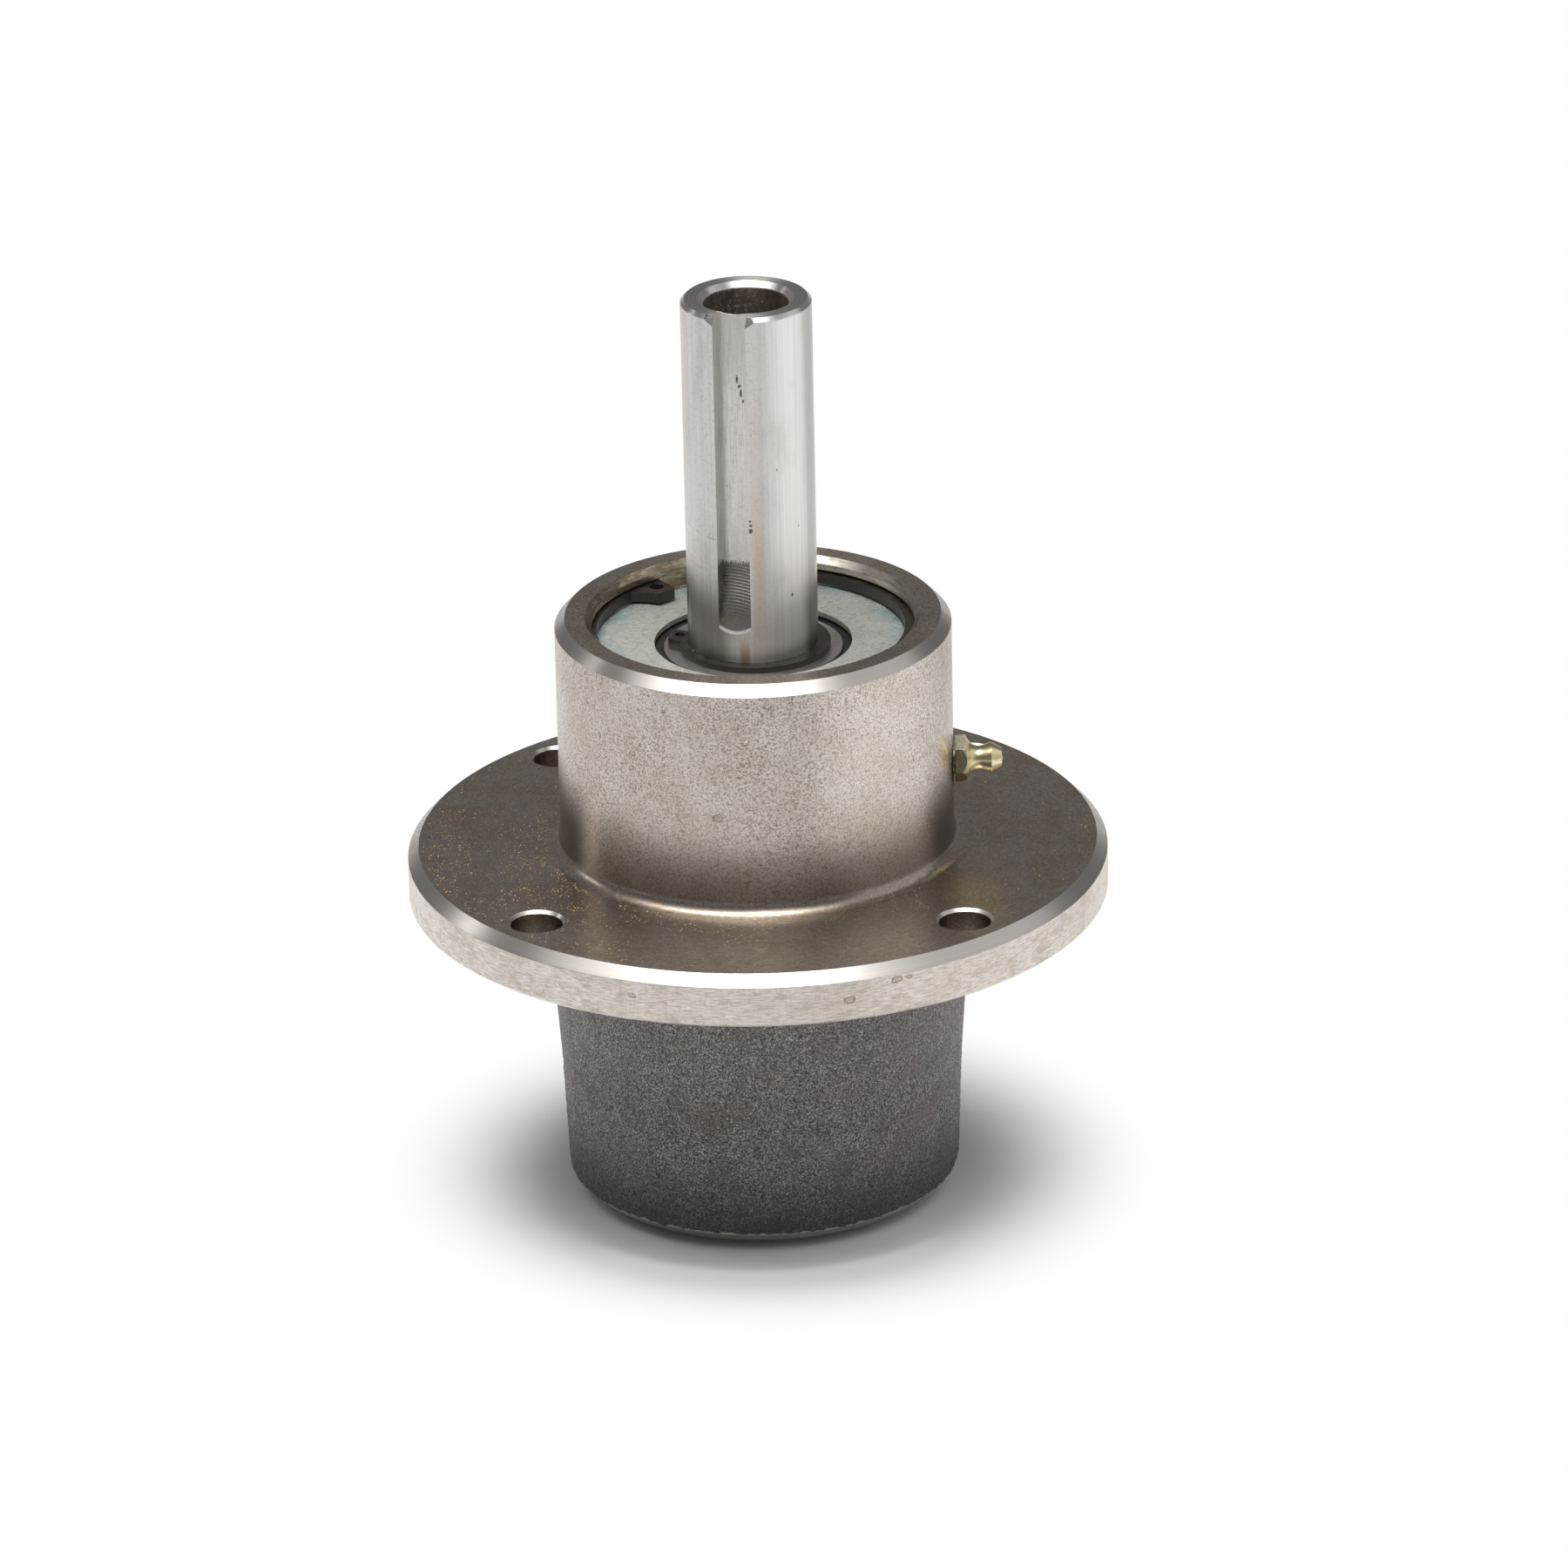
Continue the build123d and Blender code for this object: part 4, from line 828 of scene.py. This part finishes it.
steel = Finish("ground_shaft_steel")
steel.soften(0.12)
up = steel.split(steel.facing)[2]
turned = steel.add("ShaderNodeVectorRotate", rotation_type="Z_AXIS")
steel.join(steel.place, turned.inputs["Vector"])
turned.inputs["Angle"].default_value = math.radians(-KEY_ANGLE)
depth, across = steel.split(turned.outputs[0])[:2]
angle = steel.times(steel.number("ARCTAN2", across, depth), 180 / math.pi)
in_keyway = steel.times(
    steel.band(across, -KEY_HALF_WIDTH - 0.02, KEY_HALF_WIDTH + 0.02, 0.04),
    steel.rise(depth, 4, 5),
    steel.rise(steel.radius, SHAFT_R - 0.03, SHAFT_R - 0.07),
    steel.rise(steel.z, KEY_RAMP_START, KEY_RAMP_START + 0.1),
    steel.rise(steel.z, SHAFT_TOP - 0.02, SHAFT_TOP - 0.06),
)
out_of_keyway = steel.less(in_keyway)
in_bore = steel.rise(steel.radius, BOLT_BORE_R + 0.25, BOLT_BORE_R + 0.1)
faced = steel.times(steel.rise(up, 0.9, 0.98), out_of_keyway)

# The ground wall: upright streaks, a warm blush beside the keyway and a rust drip below it.
rings = steel.grain(0.14, place=steel.point(steel.z, steel.radius), detail=3, rough=0.7)
streaks = steel.grain(2.2, place=steel.point(angle, steel.times(steel.z, 0.03)), detail=4, rough=0.6)
clouds = steel.grain(5, stretch=(1, 1, 3), detail=4, rough=0.6, shift=4)
colour = steel.mix(steel.rise(streaks, 0.30, 0.75), GROUND_STEEL, STEEL_SHADE)
colour = steel.mix(steel.rise(clouds, 0.50, 0.72, 0.0, 0.30), colour, STEEL_CLOUD)
blush = steel.times(steel.band(angle, *BLUSH_ANGLES, 5), steel.rise(clouds, 0.35, 0.6, 0.45, 1.0))
colour = steel.tint(colour, STEEL_BLUSH, blush, 0.75)
orange = steel.times(steel.band(angle, *ORANGE_ANGLES, 6), steel.band(steel.z, *ORANGE_HEIGHTS, 12))
colour = steel.tint(colour, STEEL_ORANGE, orange, steel.rise(streaks, 0.42, 0.60), 0.34)
drip = steel.times(steel.band(angle, *DRIP_ANGLES, 4), steel.rise(steel.z, *DRIP_HEIGHTS))
colour = steel.tint(colour, RUST_STREAK, drip, steel.rise(clouds, 0.3, 0.6), 0.8)
colour = steel.tint(colour, STEEL_FRECKLE, steel.specks(2.2, 0.22, 0.16, shift=5)[0], 0.55)

pitted = 0.0
for degrees, height, width, tall in PITS:
    sideways = steel.times(steel.minus(angle, degrees), math.radians(1) * SHAFT_R / width)
    upward = steel.times(steel.minus(steel.z, height), 1 / tall)
    ragged = steel.rise(steel.grain(0.35), 0.3, 0.7, -0.5, 0.5)
    wavy = steel.plus(steel.sum_of_squares(sideways, upward), ragged)
    pitted = steel.most(steel.rise(wavy, 1.0, 0.55), pitted)
line_height = steel.plus(LINE_HEIGHT, steel.rise(angle, -60, -12, 0.9, -0.2))
line = steel.rise(steel.amount(steel.minus(steel.z, line_height)), 0.13, 0.04)
broken = steel.rise(steel.grain(1.4, shift=8), 0.40, 0.52)
line = steel.times(line, steel.band(angle, *LINE_ANGLES, 6), broken)
colour = steel.tint(colour, LINE_SHADE, line, 0.55)

# The milled keyway: lines along it, painted shadow on its floor near the top and beside its left wall, a dark
# ramp where the cutter lifted, and two filed facets at its mouth in painted shade.
mill_lines = steel.grain(0.20, place=steel.point(across, steel.times(steel.z, 0.02)), detail=2)
milled = steel.mix(steel.rise(mill_lines, 0.35, 0.65), MILLED_STEEL, MILLED_LINE)
# Painted shadow: the keyway floor darkens near the top and beside its left wall.
shaded = steel.rise(steel.z, *KEY_SHADE_HEIGHTS, 0.0, 0.42)
shaded = steel.most(shaded, steel.rise(across, -1.6, -3.0, 0.0, 0.40))
milled = steel.mix(shaded, milled, KEYWAY_PAINTED_SHADOW)
ragged_top = steel.plus(steel.z, steel.rise(mill_lines, 0.35, 0.65, -0.4, 0.4))
on_ramp = steel.times(in_keyway, steel.rise(ragged_top, KEY_RAMP_END, KEY_RAMP_END - 0.5))
milled = steel.tint(milled, RAMP_DARK, on_ramp, 0.88)
rusty_foot = steel.times(on_ramp, steel.rise(across, 0.5, -2.5), steel.rise(steel.z, 124, 119.5))
milled = steel.tint(milled, RAMP_RUST, rusty_foot, 0.25)
run_out = steel.times(steel.rise(steel.radius, SHAFT_R - 0.40, SHAFT_R - 0.22), steel.rise(steel.z, 122, 121))
milled = steel.tint(milled, RUN_OUT_LIGHT, run_out, 0.9)
filed = steel.times(
    steel.band(angle, -FACET_ANGLE, FACET_ANGLE, 0.5),
    steel.band(up, 0.2, 0.93, 0.1),
    steel.rise(steel.z, SHAFT_TOP - FACET_DEPTH, SHAFT_TOP - FACET_DEPTH + 0.2),
    steel.rise(steel.radius, BOLT_BORE_R + 1.6, BOLT_BORE_R + 1.8),
)
# Painted shade: the two filed facets are given dark steel, the left one darker, against the light they would
# reflect.
colour = steel.tint(colour, steel.mix(steel.rise(angle, -5, 5), FILED_LEFT_PAINTED_SHADE, FILED_RIGHT_PAINTED_SHADE), filed, 0.95)
colour = steel.mix(in_keyway, colour, milled)
colour = steel.tint(colour, PIT_DARK, pitted, 0.85)

# The faced top, painted shade round the foot with a painted highlight line left through it, and the bore with
# old oil and grit.
turning = steel.grain(0.16, place=steel.point(steel.radius, 0.0), detail=3, rough=0.7)
colour = steel.mix(faced, colour, steel.mix(steel.rise(turning, 0.35, 0.65), FACED_LIGHT, FACED_DARK))
# Painted shade: the shaft darkens towards its foot, most at the left and the far right; a thin upright line
# at the left stays light as a painted highlight.
left_foot = steel.rise(steel.z, *LEFT_FOOT_HEIGHTS, 0.0, 0.66)
left_foot = steel.times(steel.rise(angle, 4, -14), left_foot, out_of_keyway)
painted_highlight_line = steel.times(steel.band(angle, *HIGHLIGHT_LINE_ANGLES, 0.8), 0.65)
left_foot = steel.times(left_foot, steel.less(painted_highlight_line))
far_foot = steel.times(steel.rise(angle, 58, 80), steel.rise(steel.z, *FAR_FOOT_HEIGHTS, 0.0, 0.70))
low_foot = steel.times(steel.rise(steel.z, *LOW_FOOT_HEIGHTS, 0.0, 0.26), out_of_keyway)
colour = steel.mix(steel.most(left_foot, far_foot, low_foot), colour, SHAFT_FOOT_PAINTED_SHADE)
oily = steel.mix(steel.rise(steel.grain(2.2, detail=4), 0.4, 0.7), OLD_OIL, OIL_FILM)
oily = steel.tint(oily, BORE_GRIT, steel.specks(1.1, 0.22, 0.22, shift=9)[0], 0.8)
colour = steel.mix(in_bore, colour, oily)
mottled = steel.rise(steel.grain(0.7, detail=4, rough=0.8, shift=13), 0.52, 0.64)
colour = steel.tint(colour, STEEL_MOTTLE, mottled, steel.rise(angle, 48, 10, 0.05, 0.34))
steel.set(Base_Color=colour, Metallic=steel.blend(in_bore, 1.0, 0.35))

gloss = steel.plus(0.285, steel.rise(clouds, 0.4, 0.7, 0.0, 0.03))
gloss = steel.blend(in_keyway, gloss, 0.29)
gloss = steel.blend(faced, gloss, 0.32)
gloss = steel.blend(in_bore, gloss, 0.55)
steel.set(Roughness=steel.most(gloss, steel.times(pitted, 0.7)))
steel.lathe_lines(0.9)
steel.relief(rings, 0.004)
steel.relief(steel.times(turning, faced), 0.012)
bowed = steel.plus(steel.times(across, 0.10), steel.times(across, across, 0.03))
wave = steel.number("SINE", steel.times(steel.plus(steel.z, bowed), 2 * math.pi / CHATTER_PITCH))
steel.relief(steel.times(wave, on_ramp, steel.rise(steel.z, 120, 127)), 0.055)
steel.relief(steel.times(mill_lines, in_keyway), 0.02)
steel.relief(steel.times(pitted, -1.0), 0.10)
steel.cover("spindle_shaft")


# Two 6305-size ball bearings carry the shaft. Their rings are ground steel, a little brown with old oil.
# The balls are polished, and the cages are two pressed ribbons riveted together between the balls.
RING_LIGHT = (0.86, 0.825, 0.785)
RING_SHADE = (0.70, 0.665, 0.625)
RING_OIL = (0.33, 0.285, 0.24)
BALL_LIGHT = (0.72, 0.71, 0.70)
BALL_SHADE = (0.64, 0.63, 0.61)
CAGE_LIGHT = (0.55, 0.545, 0.53)
CAGE_SHADE = (0.43, 0.42, 0.40)

ring_steel = Finish("bearing_ring_steel")
ring_steel.soften(0.15)
ground_place = ring_steel.point(ring_steel.radius, ring_steel.z)
rings = ring_steel.grain(0.18, place=ground_place, detail=3, rough=0.7)
oil = ring_steel.grain(3.5, detail=4, rough=0.6)
colour = ring_steel.mix(ring_steel.rise(rings, 0.35, 0.65), RING_LIGHT, RING_SHADE)
colour = ring_steel.mix(ring_steel.rise(oil, 0.46, 0.70, 0.0, 0.5), colour, RING_OIL)
ring_steel.set(Base_Color=colour, Metallic=1.0, Roughness=ring_steel.rise(oil, 0.3, 0.7, 0.285, 0.38))
ring_steel.lathe_lines(0.4)
ring_steel.relief(rings, 0.006)

polished = Finish("polished_balls")
mist = polished.grain(1.6, detail=3)
polished.set(Base_Color=polished.mix(mist, BALL_LIGHT, BALL_SHADE), Metallic=1.0)
polished.set(Roughness=polished.rise(mist, 0.3, 0.7, 0.05, 0.13))

pressed = Finish("pressed_cage_steel")
mist = pressed.grain(0.8, detail=4, rough=0.65)
pressed.set(Base_Color=pressed.mix(mist, CAGE_LIGHT, CAGE_SHADE), Metallic=1.0)
pressed.set(Roughness=pressed.rise(mist, 0.3, 0.7, 0.26, 0.42))
pressed.relief(mist, 0.02)

for end in ("upper", "lower"):
    ring_steel.cover(f"{end}_bearing_outer_ring", f"{end}_bearing_inner_ring")
    polished.cover(f"{end}_bearing_balls")
    pressed.cover(f"{end}_cage_top_half", f"{end}_cage_bottom_half", f"{end}_cage_rivets")


# The seals are moulded black rubber, snapped into the outer rings, with lips that ride on the inner rings.
# The rubber is matt, with a faint orange-peel skin and a little dust here and there.
RUBBER_BLACK = (0.011, 0.011, 0.011)
RUBBER_DUST = (0.045, 0.040, 0.034)

rubber = Finish("seal_rubber")
skin_grain = rubber.grain(0.25, detail=3, rough=0.6)
dusty = rubber.grain(2.5, detail=4, rough=0.7, shift=4)
colour = rubber.mix(rubber.rise(dusty, 0.5, 0.75), RUBBER_BLACK, RUBBER_DUST)
rubber.set(Base_Color=colour, Roughness=rubber.rise(dusty, 0.35, 0.7, 0.42, 0.62))
rubber.relief(skin_grain, 0.015)
rubber.cover("upper_bearing_seal", "lower_bearing_seal")


# A plain steel tube keeps the two inner rings apart, sawn from drawn tube with its ends faced.
# No side of the closed spindle shows it. It has a drawn tube's long faint lines and a film of grease.
TUBE_LIGHT = (0.46, 0.45, 0.43)
TUBE_SHADE = (0.34, 0.33, 0.31)
TUBE_GREASE = (0.30, 0.25, 0.17)

drawn = Finish("drawn_tube")
lines = drawn.grain(0.5, stretch=(1, 1, 30), detail=3)
film = drawn.grain(6, detail=3, shift=7)
colour = drawn.mix(drawn.rise(lines, 0.35, 0.65), TUBE_LIGHT, TUBE_SHADE)
drawn.set(Base_Color=drawn.mix(drawn.rise(film, 0.45, 0.7, 0.0, 0.6), colour, TUBE_GREASE), Metallic=0.9)
drawn.set(Roughness=drawn.rise(film, 0.35, 0.7, 0.40, 0.25))
drawn.relief(lines, 0.01)
drawn.cover("bearing_spacer")


# A flat zinc-plated washer shields each bearing. The plate is a pale greenish grey with a satin bloom.
# It is tinted blue-green towards its rim, lightly scratched there, and keeps faint lines from rolling.
WASHER_TINT_START = 23.5
WASHER_STAIN_START = 26
WASHER_RIM = 30.5

ZINC_PALE = (0.62, 0.63, 0.57)
ZINC_GREEN = (0.54, 0.565, 0.515)
ZINC_SATIN = (0.80, 0.785, 0.71)
ZINC_WORN = (0.36, 0.355, 0.29)
ZINC_TEAL = (0.33, 0.485, 0.49)
ZINC_RUB = (0.86, 0.86, 0.83)
ZINC_STAIN = (0.36, 0.34, 0.27)
ZINC_FLECK = (0.30, 0.27, 0.21)

zinc = Finish("zinc_plated_washer")
zinc.soften(0.1)
bloom = zinc.grain(4.5, detail=4, rough=0.6)
satin = zinc.grain(0.75, detail=4, rough=0.8, shift=5)
worn = zinc.grain(1.0, detail=5, rough=0.8, shift=35)
rolled = zinc.grain(0.35, stretch=(12, 1, 1), detail=2, shift=9)
rub = zinc.hairs(3.2, 0.016, 0.66, shift=12)
towards_rim = zinc.rise(zinc.radius, WASHER_TINT_START, WASHER_RIM)
colour = zinc.mix(zinc.rise(bloom, 0.38, 0.66), ZINC_PALE, ZINC_GREEN)
colour = zinc.mix(zinc.rise(satin, 0.42, 0.60, 0.0, 0.75), colour, ZINC_SATIN)
colour = zinc.mix(zinc.rise(worn, 0.49, 0.38, 0.0, 0.62), colour, ZINC_WORN)
teal = zinc.times(towards_rim, zinc.rise(zinc.grain(8, detail=3, shift=3), 0.38, 0.60, 0.25, 1.0))
colour = zinc.tint(colour, ZINC_TEAL, teal, 0.85)
colour = zinc.tint(colour, ZINC_RUB, rub, towards_rim, 0.85)
stain = zinc.rise(zinc.grain(3, detail=4, shift=22), 0.52, 0.66)
colour = zinc.tint(colour, ZINC_STAIN, zinc.rise(zinc.radius, WASHER_STAIN_START, WASHER_RIM), stain, 0.5)
colour = zinc.tint(colour, ZINC_FLECK, zinc.specks(1.1, 0.17, 0.34, shift=2)[0], 0.6)
zinc.set(Base_Color=colour, Metallic=0.55)
zinc.set(Roughness=zinc.plus(zinc.rise(satin, 0.3, 0.7, 0.31, 0.42), zinc.times(rub, -0.02)))
zinc.relief(zinc.plus(satin, worn), 0.016)
zinc.relief(zinc.plus(rolled, rub), 0.006)
zinc.cover("upper_shield_washer", "lower_shield_washer")


# Snap rings hold the bearings in the housing and on the shaft. They are stamped spring steel, black oxide.
# Their faces are a little browner than their stamped edges, and grit sits where the shaft meets its ring.
OXIDE_BLACK = (0.034, 0.030, 0.027)
OXIDE_BROWN = (0.078, 0.063, 0.049)
OXIDE_TOOTH = (0.10, 0.083, 0.066)
STAMPED_DARK = (0.022, 0.020, 0.018)
STAMPED_LIGHT = (0.075, 0.066, 0.056)
OXIDE_FLECK = (0.34, 0.27, 0.18)
CLIP_CRUMB_COUNT = 80
CLIP_CRUMB_SIZES = (0.04, 0.11)
GRIT_BROWN = (0.46, 0.38, 0.28)
GRIT_PALE = (0.84, 0.81, 0.75)
GRIT_SHADE = (0.60, 0.55, 0.48)

oxide = Finish("black_oxide_rings")
oxide.soften(0.09)
film = oxide.grain(1.8, detail=4, rough=0.65)
tooth = oxide.grain(0.22, detail=3, rough=0.7, shift=6)
stamped = oxide.grain(0.16, stretch=(1, 1, 5), detail=2, shift=3)
stamped_edge = oxide.less(oxide.rise(oxide.amount(oxide.split(oxide.facing)[2]), 0.8, 0.97))
colour = oxide.mix(oxide.rise(film, 0.38, 0.68), OXIDE_BLACK, OXIDE_BROWN)
colour = oxide.mix(oxide.rise(tooth, 0.5, 0.75, 0.0, 0.45), colour, OXIDE_TOOTH)
colour = oxide.mix(stamped_edge, colour, oxide.mix(stamped, STAMPED_DARK, STAMPED_LIGHT))
colour = oxide.tint(colour, OXIDE_FLECK, oxide.specks(1.1, 0.16, 0.22, shift=2)[0], 0.7)
oxide.set(Base_Color=colour, Metallic=0.6, Roughness=oxide.rise(film, 0.3, 0.7, 0.285, 0.38))
oxide.relief(tooth, 0.014)
oxide.relief(oxide.times(stamped, stamped_edge), 0.03)
oxide.cover("upper_housing_circlip", "lower_housing_circlip", "shaft_circlip")

clip_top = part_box("shaft_circlip")[1].z / MM
places = []
for _ in range(CLIP_CRUMB_COUNT):
    angle = math.radians(chance.uniform(0, 360))
    reach = SHAFT_R + 0.05 + abs(chance.gauss(0, 0.18))
    size = chance.uniform(*CLIP_CRUMB_SIZES)
    places.append((reach * math.cos(angle), reach * math.sin(angle), clip_top + size * 0.25, size))
crumbs = grit("shaft_circlip_grit", places, "spindle")
pale = Finish("pale_grit")
shade = pale.add("ShaderNodeNewGeometry").outputs["Random Per Island"]
colour = pale.mix(pale.rise(shade, 0.3, 0.8), GRIT_BROWN, GRIT_PALE)
pale.set(Base_Color=pale.mix(pale.grain(0.08), colour, GRIT_SHADE), Roughness=0.5, Metallic=0.3)
crumbs.data.materials.append(pale.material)


# The grease fitting is screwed into the boss below the upper bearing: turned steel in yellow zinc.
# The plating shines from cream to gold with a faint green film, and the hexagon's flats carry painted light
# and shade: lighter on top, darker at the front and underneath.
HEXAGON_START = 38.4
HEXAGON_END = 41.0
HEXAGON_FLAT_R = 3.97

ZINC_CREAM = (0.86, 0.80, 0.58)
ZINC_GOLD = (0.80, 0.665, 0.37)
ZINC_LIME = (0.70, 0.69, 0.50)
SIDE_FLAT_PAINTED_SHADE = (0.46, 0.43, 0.30)
SIDE_FLAT_PAINTED_SHADE_WORN = (0.13, 0.12, 0.075)
TOP_FLAT_PAINTED_LIGHT = (0.88, 0.83, 0.66)
TOP_FLAT_PAINTED_LIGHT_WORN = (0.40, 0.35, 0.22)
UNDER_FLAT_PAINTED_SHADE = (0.42, 0.28, 0.12)
WIRE_LIGHT = (0.58, 0.57, 0.55)
WIRE_SHADE = (0.42, 0.41, 0.39)

yellow = Finish("yellow_zinc_fitting")
yellow.soften(0.10)
outward, _, up = yellow.split(yellow.facing)
film = yellow.grain(1.5, detail=3, rough=0.6)
fine = yellow.grain(0.16, detail=3, rough=0.7, shift=4)
on_hexagon = yellow.band(yellow.x, HEXAGON_START - 1, HEXAGON_END, 0.2)
colour = yellow.mix(yellow.rise(film, 0.36, 0.60), ZINC_CREAM, ZINC_GOLD)
colour = yellow.mix(yellow.rise(film, 0.60, 0.74), colour, ZINC_LIME)
# Painted light and shade: the hexagon's flats take lit and shaded copies of the plating by which way they
# face.
painted_lit_share = yellow.rise(up, 0.35, 0.75)
worn = yellow.rise(fine, 0.42, 0.60)
lit_and_shaded_flats = yellow.mix(yellow.rise(up, -0.35, -0.6), yellow.mix(worn, SIDE_FLAT_PAINTED_SHADE, SIDE_FLAT_PAINTED_SHADE_WORN), UNDER_FLAT_PAINTED_SHADE)
lit_and_shaded_flats = yellow.mix(painted_lit_share, lit_and_shaded_flats, yellow.mix(worn, TOP_FLAT_PAINTED_LIGHT, TOP_FLAT_PAINTED_LIGHT_WORN))
from_axis = yellow.distance(yellow.y, yellow.minus(yellow.z, FITTING_Z))
cut = yellow.plus(yellow.x, yellow.times(yellow.minus(from_axis, HEXAGON_FLAT_R), 1.5))
bevel = yellow.rise(cut, HEXAGON_END - 0.45, HEXAGON_END - 0.30)
bevel = yellow.most(yellow.rise(outward, 0.25, 0.45), bevel)
colour = yellow.tint(colour, lit_and_shaded_flats, on_hexagon, yellow.less(bevel))
yellow.set(Base_Color=colour, Metallic=yellow.blend(yellow.times(on_hexagon, painted_lit_share), 1.0, 0.35))
yellow.set(Roughness=yellow.blend(on_hexagon, 0.28, yellow.rise(fine, 0.3, 0.7, 0.30, 0.42)))
yellow.lathe_lines(0.7, "X")
yellow.relief(yellow.grain(0.16, place=yellow.point(yellow.x, 0.0), detail=2), 0.016)
yellow.relief(yellow.times(fine, on_hexagon), 0.03)
yellow.cover("grease_fitting_body")

spring = Finish("spring_wire")
lines = spring.grain(0.2, detail=3)
spring.set(Base_Color=spring.mix(lines, WIRE_LIGHT, WIRE_SHADE), Metallic=1.0)
spring.set(Roughness=spring.rise(lines, 0.3, 0.7, 0.22, 0.36))
spring.cover("grease_fitting_spring")
polished.cover("grease_fitting_ball")
